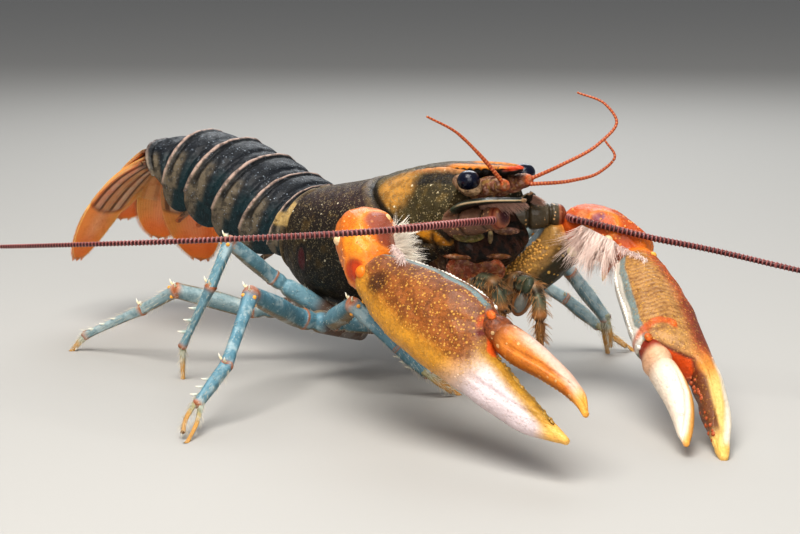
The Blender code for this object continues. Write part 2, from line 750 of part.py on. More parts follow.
FINGER_ROWS = {
    "right": [
        (22.0, 3.2, 6.2, 2.2),
        (25.5, 2.4, 6.6, 2.5),
        (29.0, 2.3, 6.8, 2.3),
        (34.0, 3.1, 6.6, 1.9),
        (38.5, 3.5, 6.0, 1.5),
        (41.4, 3.3, 5.0, 0.9),
        (42.8, 2.9, 3.8, 0.5),
    ],
    "left": [
        (21.4, 2.6, 5.6, 2.2),
        (25.0, 1.6, 5.5, 2.5),
        (28.5, 0.7, 5.1, 2.3),
        (32.0, 0.5, 4.7, 1.9),
        (35.5, 1.3, 4.6, 1.5),
        (38.8, 2.6, 4.8, 0.9),
        (40.6, 3.6, 4.6, 0.5),
    ],
}


def chela_axes(side):
    root, tip, toward = CHELA_FRAMES[side]
    along = unit(np.array(tip) - np.array(root))
    across = unit(np.array(toward) - np.dot(toward, along) * along)
    back = np.cross(along, across) * -SIDES[side]
    return np.array(root), along, across, back


def chela_form(side, rows, rings, sides=14):
    """A claw piece as a loft along the claw, its edges set apart from its middle line."""
    root, along, across, back = chela_axes(side)
    scale = CHELA_LENGTH[side] / CHELA_LENGTH["right"]
    data = spline([(u, 0.0, 0.0, low, high, thick) for u, low, high, thick in rows], rings)
    out = []
    for u, _, _, low, high, thick in data:
        ring = []
        for c, s in oval(sides, 2.2):
            v = (low + high) / 2 + (high - low) / 2 * c
            section = (across * v + back * thick * s) * CHELA_GIRTH[side]
            ring.append(root + (along * u + section) * scale)
        out.append(ring)
    first = np.mean(np.array(out[0]), axis=0) - along * 0.9 * scale
    last = np.mean(np.array(out[-1]), axis=0) + along * 0.4 * scale
    return skin_rings(out, first, last)


# Small forms of the claws: a tuft of bristles and some knobs and spines on each wrist, and the
# row of beads along the inner edge of each palm.
TUFTS = {
    # roots run from the first point to the second, and the bristles lie along the third
    "right": ((-8.6, -20.6, 27.6), (-5.6, -21.9, 24.6), (0.50, 0.86, 0.06)),
    "left": ((-0.4, 12.0, 23.2), (4.6, 15.0, 20.0), (-0.24, -0.70, -0.67)),
}
TUFT_LOCKS = 10
LOCK_LENGTH = 4.3
LOCK_RADIUS = 0.6
KNOBS = {
    "right": [(-12.7, -25.3, 25.9), (-7.9, -19.9, 28.6)],
    "left": [(7.2, 19.0, 21.9), (0.6, 18.6, 24.6)],
}
KNOB_RADIUS = 0.9
WRIST_SPINES = {
    "right": [((-9.0, -20.5, 23.6), (-7.0, -17.6, 22.6))],
    "left": [((3.2, 14.4, 19.8), (3.3, 12.9, 16.9)), ((5.2, 15.8, 19.2), (5.8, 14.4, 16.8))],
}
SPINE_RADIUS = 0.6
BEADS = 12
BEAD_FIRST = 3.8
BEAD_LAST = 21.4


def tuft(side, draw):
    """Bent locks of bristles in two staggered rows."""
    first, last, lie = [np.array(p, float) for p in TUFTS[side]]
    lie = unit(lie)
    spread = unit(last - first)
    lift = np.cross(lie, spread)
    forms = []
    for k in range(TUFT_LOCKS):
        f = k / (TUFT_LOCKS - 1)
        root = first + (last - first) * f + lift * 0.7 * (k % 2 - 0.5)
        lean = spread * (f - 0.5) * 0.5 + lift * (k % 2 - 0.5) * 0.35
        length = LOCK_LENGTH * draw.uniform(0.85, 1.1)
        middle = root + (lie + lean * 0.4) * length * 0.55
        tip = root + unit(lie + lean) * length - np.array((0, 0, 0.3))
        forms.append(spike([root, middle, tip], LOCK_RADIUS))
    return forms


def beads(side):
    """White beads along the inner edge of the palm."""
    root, along, across, _ = chela_axes(side)
    scale = CHELA_LENGTH[side] / CHELA_LENGTH["right"]
    edge = np.array(PALM_ROWS[side])
    forms = []
    for u in np.linspace(BEAD_FIRST, BEAD_LAST, BEADS):
        v = float(np.interp(u, edge[:, 0], edge[:, 2])) - 0.1
        centre = root + (along * u + across * v * CHELA_GIRTH[side]) * scale
        forms.append(ball(centre, (0.72, 0.55, 0.55), axis=along, side=across, sides=6, rings=3))
    return forms


for side in SIDES:
    arm = limb(ARMS[side], (0, 0, 1), sides=12, rings=7, power=2.4)
    node(f"claw_{side}_arm", arm, "arm")
    wrist = limb(WRISTS[side], (0, 0, 1), sides=12, rings=7, power=2.2)
    small = tuft(side, random.Random(5))
    for centre in KNOBS[side]:
        small.append(ball(centre, (KNOB_RADIUS, KNOB_RADIUS, KNOB_RADIUS), sides=7, rings=4))
    for path in WRIST_SPINES[side]:
        small.append(spike(path, SPINE_RADIUS))
    node(f"claw_{side}_wrist", wrist, "wrist", extra=small)
    palm = chela_form(side, PALM_ROWS[side], 19, sides=12)
    node(f"claw_{side}_palm", palm, "palm", grounded=True, extra=beads(side))
    finger = chela_form(side, FINGER_ROWS[side], 11, sides=10)
    node(f"claw_{side}_finger", finger, "finger", grounded=True)

# Walking legs: each has an upper leg, a shank and a foot; the first two pairs end in small pincers.
LEGS = {
    "right": {
        2: [(-24.5, -6.4, 8.8), (-28.0, -13.0, 9.6), (-20.8, -15.4, 13.4),
            (-15.2, -11.5, 7.4), (-11.9, -8.6, 3.5), (-8.7, -4.7, 0.0)],
        3: [(-29.5, -6.6, 7.2), (-31.9, -16.5, 9.8), (-26.3, -30.3, 16.2),
            (-20.6, -39.2, 8.0), (-18.9, -45.4, 3.8), (-15.0, -51.1, 0.0)],
        4: [(-35.0, -6.6, 7.6), (-40.6, -15.2, 14.8), (-39.8, -24.0, 21.5),
            (-40.0, -27.5, 14.9), (-44.5, -29.7, 5.3), (-44.8, -29.6, 0.0)],
        5: [(-41.0, -6.4, 8.8), (-47.4, -14.2, 8.5), (-53.0, -24.6, 12.0),
            (-61.0, -25.7, 7.9), (-71.0, -30.2, 2.6), (-72.6, -32.2, 0.0)],
    },
    "left": {
        2: [(-24.0, 6.4, 9.2), (-20.6, 9.6, 12.8), (-14.2, 15.2, 23.1),
            (-13.4, 23.4, 14.5), (-11.9, 30.0, 6.5), (-12.7, 32.2, 0.0)],
        3: [(-29.5, 6.6, 7.4), (-28.0, 13.0, 9.6), (-22.6, 19.4, 14.8),
            (-17.6, 26.6, 9.2), (-15.0, 31.6, 4.5), (-10.9, 36.5, 0.0)],
        4: [(-35.0, 6.6, 7.6), (-39.0, 14.0, 12.2), (-41.5, 23.0, 18.6),
            (-43.0, 27.6, 11.4), (-46.0, 30.8, 4.8), (-47.0, 31.8, 0.0)],
        5: [(-41.0, 6.4, 8.8), (-46.5, 14.0, 10.0), (-51.5, 22.4, 13.6),
            (-57.0, 26.6, 8.6), (-63.0, 30.2, 3.2), (-65.0, 31.8, 0.0)],
    },
}
LEG_SPINE_PLACES = (0.35, 0.55, 0.75)
LEG_SPINE_LENGTH = 1.2
LEG_RADII = {2: (1.75, 1.55, 1.25, 1.05, 0.9), 3: (1.85, 1.6, 1.25, 1.0, 0.85),
             4: (1.6, 1.3, 1.0, 0.85, 0.6), 5: (1.6, 1.4, 1.15, 0.95, 0.65)}


def pincers(start, end, radius, side_vector):
    """Two slim fingers, parted a little, from the end of a palm to the ground."""
    start = np.array(start, float)
    end = np.array(end, float)
    along = end - start
    apart = unit(np.cross(along, side_vector))
    fingers = []
    for sign, reach in ((1, 0.72), (-1, 1.0)):
        root = start - unit(along) * radius * 0.6 + apart * radius * 0.45 * sign
        middle = start + along * 0.5 + apart * radius * 0.95 * sign
        tip = start + along * reach + apart * radius * 0.6 * sign
        rows = [(*root, radius * 0.62, radius * 0.55), (*middle, radius * 0.48, radius * 0.45),
                (*tip, 0.3, 0.3)]
        fingers.append(limb(rows, side_vector, sides=6, rings=4, power=2.0))
    return fingers


def leg(side, number):
    root, bend, knee, wrist, ankle, tip = [np.array(p, float) for p in LEGS[side][number]]
    r0, r1, r2, r3, r4 = LEG_RADII[number]
    name = f"leg_{side}_{number}"
    guide = (0.2, 0.1, 1.0)
    if number == 4:
        guide = (1.0, 0.2, 0.1)
    tip = tip - np.array((0, 0, TIP_DIP))
    upper = limb([(*root, r0, r0), (*(root * 0.4 + bend * 0.6), r0, r0), (*bend, r1, r1),
                  (*((bend + knee) / 2), r1 * 1.05, r1), (*knee, r2, r2)], guide, sides=8, rings=8)
    node(f"{name}_upper", upper, "leg")
    shank = limb([(*knee, r2, r2), (*((knee + wrist) / 2), r3 * 1.1, r3), (*wrist, r3, r3)], guide,
                 sides=8, rings=5)
    node(f"{name}_shank", shank, "leg")
    if number in (2, 3):
        middle = (wrist + ankle) / 2
        palm = limb([(*wrist, r3, r3), (*middle, r4 * 1.35, r4 * 1.1), (*ankle, r4, r4 * 0.9)], guide,
                    sides=8, rings=4)
        extra = pincers(ankle, tip, r4, guide)
    else:
        middle = (wrist + ankle) / 2
        palm = limb([(*wrist, r3, r3), (*middle, r4 * 1.15, r4 * 1.1), (*ankle, r4, r4)], guide,
                    sides=8, rings=4)
        middle = (ankle + tip) / 2
        toe = limb([(*ankle, r4 * 0.8, r4 * 0.8), (*middle, r4 * 0.6, r4 * 0.6), (*tip, 0.3, 0.3)],
                   guide, sides=6, rings=4)
        extra = [toe]
    outward = unit((-0.7, 0.7 * SIDES[side], 0.0))
    for f in LEG_SPINE_PLACES:
        centre = wrist + (ankle - wrist) * f
        extra.append(spike([centre, centre + outward * (r4 * 1.2 + LEG_SPINE_LENGTH)], 0.4, sides=4))
    node(f"{name}_foot", palm, "foot", grounded=True, extra=extra)


for side in SIDES:
    for number in (2, 3, 4, 5):
        leg(side, number)

# One empty carries every piece and centres the animal on the origin.
carrier = bpy.data.objects.new("crayfish", None)
bpy.context.collection.objects.link(carrier)
carrier.location = (ORIGIN_SHIFT[0] * MM, ORIGIN_SHIFT[1] * MM, 0.0)
for obj in NODES:
    obj.data.transform(Matrix.Scale(MM, 4))
    obj.parent = carrier
bpy.context.view_layer.update()
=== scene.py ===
"""The looks of a male tiger crayfish, life size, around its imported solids.

Lengths are in millimetres in the animal frame of the solids: +X is forward, +Y is the animal's
left, +Z is up, and the point of the rostrum stands over X 0, Y 0. Each piece is made there and
then moved and scaled into the shared frame, where the middle of the animal's box is the origin.
"""
import math
import random

import bpy
import numpy as np
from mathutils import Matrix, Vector


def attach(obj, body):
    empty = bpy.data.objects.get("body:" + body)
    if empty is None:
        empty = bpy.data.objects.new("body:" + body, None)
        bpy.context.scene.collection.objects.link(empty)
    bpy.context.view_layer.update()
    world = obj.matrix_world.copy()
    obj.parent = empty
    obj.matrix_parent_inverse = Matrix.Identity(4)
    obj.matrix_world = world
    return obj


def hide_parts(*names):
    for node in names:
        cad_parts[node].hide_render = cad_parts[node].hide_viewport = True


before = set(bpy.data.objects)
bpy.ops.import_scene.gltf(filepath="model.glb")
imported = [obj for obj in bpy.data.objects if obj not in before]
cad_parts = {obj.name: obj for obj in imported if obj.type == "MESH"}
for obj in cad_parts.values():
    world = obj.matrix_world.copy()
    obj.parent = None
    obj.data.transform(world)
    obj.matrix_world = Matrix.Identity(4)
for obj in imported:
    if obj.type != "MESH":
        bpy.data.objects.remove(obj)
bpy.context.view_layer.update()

# The stage is a plain pale floor, a soft sky and three broad lamps: one above the head, a weaker one
# in front and a faint one behind. The camera stands low in front of the animal's right claw.
MM = 0.001
ORIGIN_SHIFT = np.array((5.2, 2.1, 0.0))
CAMERA_PLACE = (210.07, -210.07, 76.55)
CAMERA_AIM = (-0.7363, 0.6505, -0.1866)
CAMERA_LENS = 93.15
CAMERA_SENSOR = 36.0
CAMERA_NEAREST = 0.01
FLOOR_REACH = 4.0
FLOOR_COLOUR = (0.43, 0.42, 0.40)
FLOOR_ROUGHNESS = 0.75
SKY_COLOUR = (0.92, 0.95, 1.0)
SKY_STRENGTH = 0.24


def into_frame(points):
    """Places in millimetres of the animal frame, in metres of the shared frame."""
    return (np.asarray(points, float) + ORIGIN_SHIFT) * MM


camera = bpy.data.objects.new("camera", bpy.data.cameras.new("camera"))
bpy.context.scene.collection.objects.link(camera)
bpy.context.scene.camera = camera
camera.data.lens = CAMERA_LENS
camera.data.sensor_width = CAMERA_SENSOR
camera.data.clip_start = CAMERA_NEAREST
camera.location = into_frame(CAMERA_PLACE)
camera.rotation_euler = Vector(CAMERA_AIM).to_track_quat("-Z", "Y").to_euler()

bpy.context.scene.view_settings.view_transform = "Standard"
bpy.context.scene.view_settings.look = "Medium High Contrast"
world = bpy.data.worlds.new("sky")
bpy.context.scene.world = world
world.use_nodes = True
world.node_tree.nodes["Background"].inputs["Color"].default_value = (*SKY_COLOUR, 1.0)
world.node_tree.nodes["Background"].inputs["Strength"].default_value = SKY_STRENGTH


def lamp(name, place, aim, size, power, colour):
    """A soft square lamp that looks at a point of the animal."""
    light = bpy.data.lights.new(name, "AREA")
    light.size = size
    light.energy = power
    light.color = colour
    obj = bpy.data.objects.new(name, light)
    bpy.context.scene.collection.objects.link(obj)
    obj.location = into_frame(place)
    obj.rotation_euler = Vector(np.subtract(aim, place)).to_track_quat("-Z", "Y").to_euler()


lamp("lamp_over", (60, -150, 420), (0, 0, 15), 0.30, 2.3, (1.0, 0.97, 0.92))
lamp("lamp_front", (330, -260, 200), (10, 0, 15), 0.35, 1.1, (1.0, 0.98, 0.96))
lamp("lamp_back", (-260, 240, 260), (-30, 0, 20), 0.25, 0.6, (0.95, 0.98, 1.0))

floor_mesh = bpy.data.meshes.new("floor")
floor_corners = [(-FLOOR_REACH, -FLOOR_REACH, 0), (FLOOR_REACH, -FLOOR_REACH, 0),
                 (FLOOR_REACH, FLOOR_REACH, 0), (-FLOOR_REACH, FLOOR_REACH, 0)]
floor_mesh.from_pydata(floor_corners, [], [(0, 1, 2, 3)])
floor = bpy.data.objects.new("floor", floor_mesh)
bpy.context.scene.collection.objects.link(floor)
floor_paint = bpy.data.materials.new("floor_paint")
floor_paint.use_nodes = True
floor_shader = floor_paint.node_tree.nodes["Principled BSDF"]
floor_shader.inputs["Base Color"].default_value = (*FLOOR_COLOUR, 1.0)
floor_shader.inputs["Roughness"].default_value = FLOOR_ROUGHNESS
floor_mesh.materials.append(floor_paint)

# The carapace is one saddle of hard chitin, grown onto head and thorax along the back. A groove
# crosses it behind the head, two fine grooves run along the back, and ridges stand behind the eyes.
# It is brown behind the groove and olive in front of it, with dense gold specks.
CARAPACE_RINGS = 240
CARAPACE_SIDES = 176
CARAPACE_ROWS = [
    # x, top z, bottom z, half width
    (-46.2, 26.8, 12.5, 9.2),
    (-43.0, 27.6, 10.0, 10.2),
    (-37.0, 28.9, 8.9, 11.2),
    (-30.0, 30.6, 9.8, 11.0),
    (-24.0, 32.4, 12.2, 10.4),
    (-18.0, 33.7, 15.2, 9.7),
    (-12.5, 34.0, 18.2, 8.9),
    (-8.3, 33.6, 20.4, 8.1),
]


def unit(vector):
    vector = np.array(vector, float)
    return vector / np.linalg.norm(vector)


def spline(rows, count):
    """Rows read evenly off a smooth curve that runs through the given rows of numbers."""
    rows = np.array(rows, float)
    step = np.linalg.norm(np.diff(rows[:, :3], axis=0), axis=1)
    at = np.concatenate([[0.0], np.cumsum(step)])
    slope = np.gradient(rows, at, axis=0)
    place = np.linspace(0.0, at[-1], count)
    i = np.minimum(np.searchsorted(at, place, side="right") - 1, len(at) - 2)
    span = (at[i + 1] - at[i])[:, None]
    u = ((place - at[i]) / span[:, 0])[:, None]
    value = rows[i] * (1 + 2 * u) * (1 - u) ** 2 + rows[i + 1] * u * u * (3 - 2 * u)
    return value + slope[i] * span * u * (1 - u) ** 2 + slope[i + 1] * span * u * u * (u - 1)


def step_up(x, low, high):
    """0 below low, 1 above high and a smooth rise between them."""
    t = np.clip((np.asarray(x, float) - low) / (high - low), 0.0, 1.0)
    return t * t * (3 - 2 * t)


def band(x, middle, half, soft):
    """1 within half of the middle, fading to 0 over soft."""
    return 1.0 - step_up(np.abs(np.asarray(x, float) - middle), half, half + soft)


def hump(x, middle, width):
    """A round hump that is 1 at the middle and fades out at about twice the width."""
    return np.exp(-((x - middle) / width) ** 2)


def blob(points, centre, radius, soft):
    """1 around a point and 0 beyond the radius."""
    reach = np.linalg.norm(points - np.array(centre, float), axis=-1)
    return 1.0 - step_up(reach, radius * (1 - soft), radius)


def linear(code):
    """Linear colour from a six-digit screen colour."""
    parts = [int(code[k:k + 2], 16) / 255 for k in (0, 2, 4)]
    return tuple(p / 12.92 if p <= 0.04045 else ((p + 0.055) / 1.055) ** 2.4 for p in parts)


class Tint:
    """The colour of every point of a grid, with a fourth value that says how dense the specks are."""

    def __init__(self, grid, code, fleck=0.0):
        self.values = np.zeros((*grid.shape[:2], 4)) + (*linear(code), fleck)

    def lay(self, code, fleck, mask):
        """Lay a colour over what is there so far, by a mask."""
        mask = np.asarray(mask, float)[..., None]
        self.values = self.values * (1 - mask) + np.array((*linear(code), fleck)) * mask


def tube_faces(rings, sides):
    """Four-sided faces between rings of points that follow each other."""
    a = np.arange((rings - 1) * sides)
    b = a - a % sides + (a + 1) % sides
    return np.stack([a, b, b + sides, a + sides], 1).tolist()


class Skin:
    """Rings of points round a middle line, with the distance of each ring and the turn of each
    point, and a point that closes each end."""

    def __init__(self, grid, along, turn, poles):
        self.grid = np.array(grid, float)
        self.along = np.array(along, float)
        self.turn = np.array(turn, float)
        self.poles = np.array(poles, float)

    def share(self):
        """How far along the skin each ring is, from 0 to 1, as a column."""
        return (self.along / self.along[-1])[:, None]

    def normals(self):
        """The outward direction at each point."""
        wide = np.concatenate([self.grid[:, -1:], self.grid, self.grid[:, :1]], axis=1)
        round_way = wide[:, 2:] - wide[:, :-2]
        length_way = np.gradient(self.grid, axis=0)
        normal = np.cross(round_way, length_way)
        size = np.linalg.norm(normal, axis=2, keepdims=True)
        normal = normal / np.maximum(size, 1e-9)
        outward = self.grid - self.grid.mean(axis=1, keepdims=True)
        if (normal * outward).sum() < 0:
            normal = -normal
        return normal

    def push(self, amount):
        """Move every point out along its normal."""
        self.grid = self.grid + self.normals() * np.asarray(amount, float)[..., None]

    def mesh(self, tint):
        """Vertices, faces and colours of the closed skin."""
        rings, sides, _ = self.grid.shape
        verts = np.concatenate([self.grid.reshape(-1, 3), self.poles])
        ends = [tint.values[k].mean(0)[None] for k in (0, -1)]
        colours = np.concatenate([tint.values.reshape(-1, 4), *ends])
        faces = tube_faces(rings, sides)
        pole = rings * sides
        last = (rings - 1) * sides
        for k in range(sides):
            n = (k + 1) % sides
            faces.append([pole, n, k])
            faces.append([pole + 1, last + k, last + n])
        return verts, faces, colours


SHARP_FROM = 65
HAIR_PATCH = 0.003


class Heap:
    """Meshes gathered into one piece."""

    def __init__(self, *meshes):
        self.verts = []
        self.faces = []
        self.tints = []
        self.patches = []
        self.count = 0
        for mesh in meshes:
            self.add(mesh)

    def add(self, mesh, patch=(0.5, 0.5)):
        verts, faces, tints = mesh
        self.verts.append(np.asarray(verts, float))
        self.tints.append(np.asarray(tints, float))
        self.faces.extend([[i + self.count for i in face] for face in faces])
        self.patches.append((len(verts), patch))
        self.count += len(verts)

    def piece(self, name, material, slot, *nodes, coat=False):
        """Make the heap one object that rides on the still body and stands for the named nodes."""
        verts = np.concatenate(self.verts)
        verts[:, 2] = np.maximum(verts[:, 2], 0.0)
        mesh = bpy.data.meshes.new(name)
        mesh.from_pydata(into_frame(verts).tolist(), [], self.faces)
        tint = mesh.attributes.new("tint", "FLOAT_COLOR", "POINT")
        tint.data.foreach_set("color", np.concatenate(self.tints).astype(np.float32).ravel())
        mesh.materials.append(material)
        mesh.shade_smooth()
        mesh.set_sharp_from_angle(angle=math.radians(SHARP_FROM))
        if coat:
            self.unwrap(mesh)
        obj = bpy.data.objects.new(name, mesh)
        bpy.context.scene.collection.objects.link(obj)
        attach(obj, "root")
        if nodes:
            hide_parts(*nodes)

    def unwrap(self, mesh):
        """Each hair is a small patch at its root's place on an unwrap of the skin under it."""
        corner = np.zeros((self.count, 2))
        start = 0
        for count, patch in self.patches:
            spread = np.arange(count)
            corner[start:start + count, 0] = patch[0] + HAIR_PATCH * (spread % 3) / 2
            corner[start:start + count, 1] = patch[1] + HAIR_PATCH * (spread // 3) / max(1, count // 3)
            start += count
        layer = mesh.uv_layers.new(name="OFBake")
        index = np.zeros(len(mesh.loops), np.int32)
        mesh.loops.foreach_get("vertex_index", index)
        layer.data.foreach_set("uv", corner[index].astype(np.float32).ravel())


def socket_group(name, inputs, outputs):
    """An empty shader group with float inputs, a vector input and float outputs."""
    group = bpy.data.node_groups.new(name, "ShaderNodeTree")
    group.interface.new_socket(name="Vector", in_out="INPUT", socket_type="NodeSocketVector")
    for title, value in inputs:
        made = group.interface.new_socket(name=title, in_out="INPUT", socket_type="NodeSocketFloat")
        made.default_value = value
    for title in outputs:
        group.interface.new_socket(name=title, in_out="OUTPUT", socket_type="NodeSocketFloat")
    return group, group.nodes.new("NodeGroupInput"), group.nodes.new("NodeGroupOutput")


def feed(tree, socket, value):
    """Give a socket a number, or link another socket to it."""
    if isinstance(value, (int, float)):
        socket.default_value = value
    else:
        tree.links.new(value, socket)


def math_node(tree, operation, *values):
    """A Math node fed by sockets or numbers."""
    node = tree.nodes.new("ShaderNodeMath")
    node.operation = operation
    for socket, value in zip(node.inputs, values):
        feed(tree, socket, value)
    return node.outputs[0]


def ramp_node(tree, value, low, high):
    """A smooth 0 to 1 rise between two numbers or sockets."""
    node = tree.nodes.new("ShaderNodeMapRange")
    node.interpolation_type = "SMOOTHSTEP"
    for title, bound in (("Value", value), ("From Min", low), ("From Max", high)):
        feed(tree, node.inputs[title], bound)
    return node.outputs["Result"]


def make_specks():
    """Round specks of mixed sizes: Spacing in metres, Size as a share of it, Share of cells used."""
    group, source, sink = socket_group("specks", (("Spacing", 0.001), ("Size", 0.3), ("Share", 1.0)),
                                       ("Mask", "Dome"))
    scale = math_node(group, "DIVIDE", 1.0, source.outputs["Spacing"])
    cells = group.nodes.new("ShaderNodeTexVoronoi")
    group.links.new(source.outputs["Vector"], cells.inputs["Vector"])
    group.links.new(scale, cells.inputs["Scale"])
    split = group.nodes.new("ShaderNodeSeparateColor")
    group.links.new(cells.outputs["Color"], split.inputs["Color"])
    used = math_node(group, "LESS_THAN", split.outputs["Green"], source.outputs["Share"])
    varied = math_node(group, "MULTIPLY_ADD", split.outputs["Red"], 0.8, 0.35)
    radius = math_node(group, "MULTIPLY", varied, source.outputs["Size"])
    radius = math_node(group, "MULTIPLY", radius, used)
    depth = math_node(group, "SUBTRACT", radius, cells.outputs["Distance"])
    group.links.new(ramp_node(group, depth, 0.0, 0.07), sink.inputs["Mask"])
    group.links.new(ramp_node(group, depth, 0.0, 0.3), sink.inputs["Dome"])
    return group


def make_clouds():
    """Soft blotches: Spacing in metres, Low and High bound the noise that shows."""
    group, source, sink = socket_group("clouds", (("Spacing", 0.002), ("Low", 0.45), ("High", 0.6)),
                                       ("Mask",))
    scale = math_node(group, "DIVIDE", 1.0, source.outputs["Spacing"])
    noise = group.nodes.new("ShaderNodeTexNoise")
    noise.inputs["Detail"].default_value = 5.0
    noise.inputs["Roughness"].default_value = 0.62
    group.links.new(source.outputs["Vector"], noise.inputs["Vector"])
    group.links.new(scale, noise.inputs["Scale"])
    mask = ramp_node(group, noise.outputs["Fac"], source.outputs["Low"], source.outputs["High"])
    group.links.new(mask, sink.inputs["Mask"])
    return group


SPECKS = make_specks()
CLOUDS = make_clouds()
CHITIN_COAT_ROUGHNESS = 0.12
CHITIN_SPECULAR = 0.25


class Finish:
    """A Principled material whose colour starts from the piece's own tint."""

    def __init__(self, name, roughness, gloss, bump, grain=0.00035):
        self.material = bpy.data.materials.new(name)
        self.material.use_nodes = True
        self.tree = self.material.node_tree
        self.shader = self.tree.nodes["Principled BSDF"]
        self.shader.inputs["Coat Weight"].default_value = gloss
        self.shader.inputs["Coat Roughness"].default_value = CHITIN_COAT_ROUGHNESS
        self.shader.inputs["Specular IOR Level"].default_value = CHITIN_SPECULAR
        self.place = self.tree.nodes.new("ShaderNodeTexCoord").outputs["Object"]
        tint = self.tree.nodes.new("ShaderNodeAttribute")
        tint.attribute_name = "tint"
        self.colour = tint.outputs["Color"]
        self.fleck = tint.outputs["Alpha"]
        self.height = None
        worn = self.group(CLOUDS, Spacing=0.0011, Low=0.35, High=0.65)
        mixed = self.tree.nodes.new("ShaderNodeMix")
        mixed.inputs["A"].default_value = roughness[0]
        mixed.inputs["B"].default_value = roughness[1]
        self.tree.links.new(worn, mixed.inputs["Factor"])
        self.tree.links.new(mixed.outputs["Result"], self.shader.inputs["Roughness"])
        pits = self.group(CLOUDS, Spacing=grain, Low=0.3, High=0.7)
        self.raise_by(pits, bump)

    def group(self, group, out="Mask", **values):
        """A shader group at the piece's own place, with its values set."""
        node = self.tree.nodes.new("ShaderNodeGroup")
        node.node_tree = group
        self.tree.links.new(self.place, node.inputs["Vector"])
        for title, value in values.items():
            node.inputs[title].default_value = value
        return node.outputs[out]

    def paint(self, code, amount, by_fleck, group, out="Mask", **values):
        """Lay a colour over what is there so far by a group's mask, and by the tint's fourth value
        where by_fleck is set."""
        mask = self.group(group, out, **values)
        factor = math_node(self.tree, "MULTIPLY", mask, amount)
        if by_fleck:
            factor = math_node(self.tree, "MULTIPLY", factor, self.fleck)
        mixed = self.tree.nodes.new("ShaderNodeMix")
        mixed.data_type = "RGBA"
        self.tree.links.new(factor, mixed.inputs["Factor"])
        self.tree.links.new(self.colour, mixed.inputs[6])
        mixed.inputs[7].default_value = (*linear(code), 1.0)
        self.colour = mixed.outputs[2]
        return mask

    def raise_by(self, mask, amount):
        """Add a mask to the relief that done() turns into bump."""
        part = math_node(self.tree, "MULTIPLY", mask, amount)
        self.height = part if self.height is None else math_node(self.tree, "ADD", self.height, part)

    def done(self, depth=0.00012):
        """Join the colour and the relief to the shader; depth is the relief's height in metres."""
        self.tree.links.new(self.colour, self.shader.inputs["Base Color"])
        bump = self.tree.nodes.new("ShaderNodeBump")
        bump.inputs["Strength"].default_value = 1.0
        bump.inputs["Distance"].default_value = depth
        self.tree.links.new(self.height, bump.inputs["Height"])
        self.tree.links.new(bump.outputs["Normal"], self.shader.inputs["Normal"])
        return self.material


def carapace_finish():
    made = Finish("carapace_chitin", roughness=(0.38, 0.58), gloss=0.06, bump=0.5)
    made.paint("1c140b", 0.45, False, CLOUDS, Spacing=0.0014, Low=0.45, High=0.62)
    made.paint("a5823f", 0.22, True, CLOUDS, Spacing=0.0024, Low=0.5, High=0.66)
    fine = made.paint("a0906c", 0.8, True, SPECKS, Spacing=0.00034, Size=0.38, Share=1.0)
    made.paint("efe3c4", 0.9, True, SPECKS, Spacing=0.0013, Size=0.18, Share=0.6)
    made.raise_by(fine, 0.9)
    return made.done()


def groove(x, away):
    """How far behind the neck groove a place is; away is the angle down from the middle line."""
    line = -30.2 + 17.0 * np.clip(away / 100.0, 0.0, 1.4) ** 1.6
    return x - line


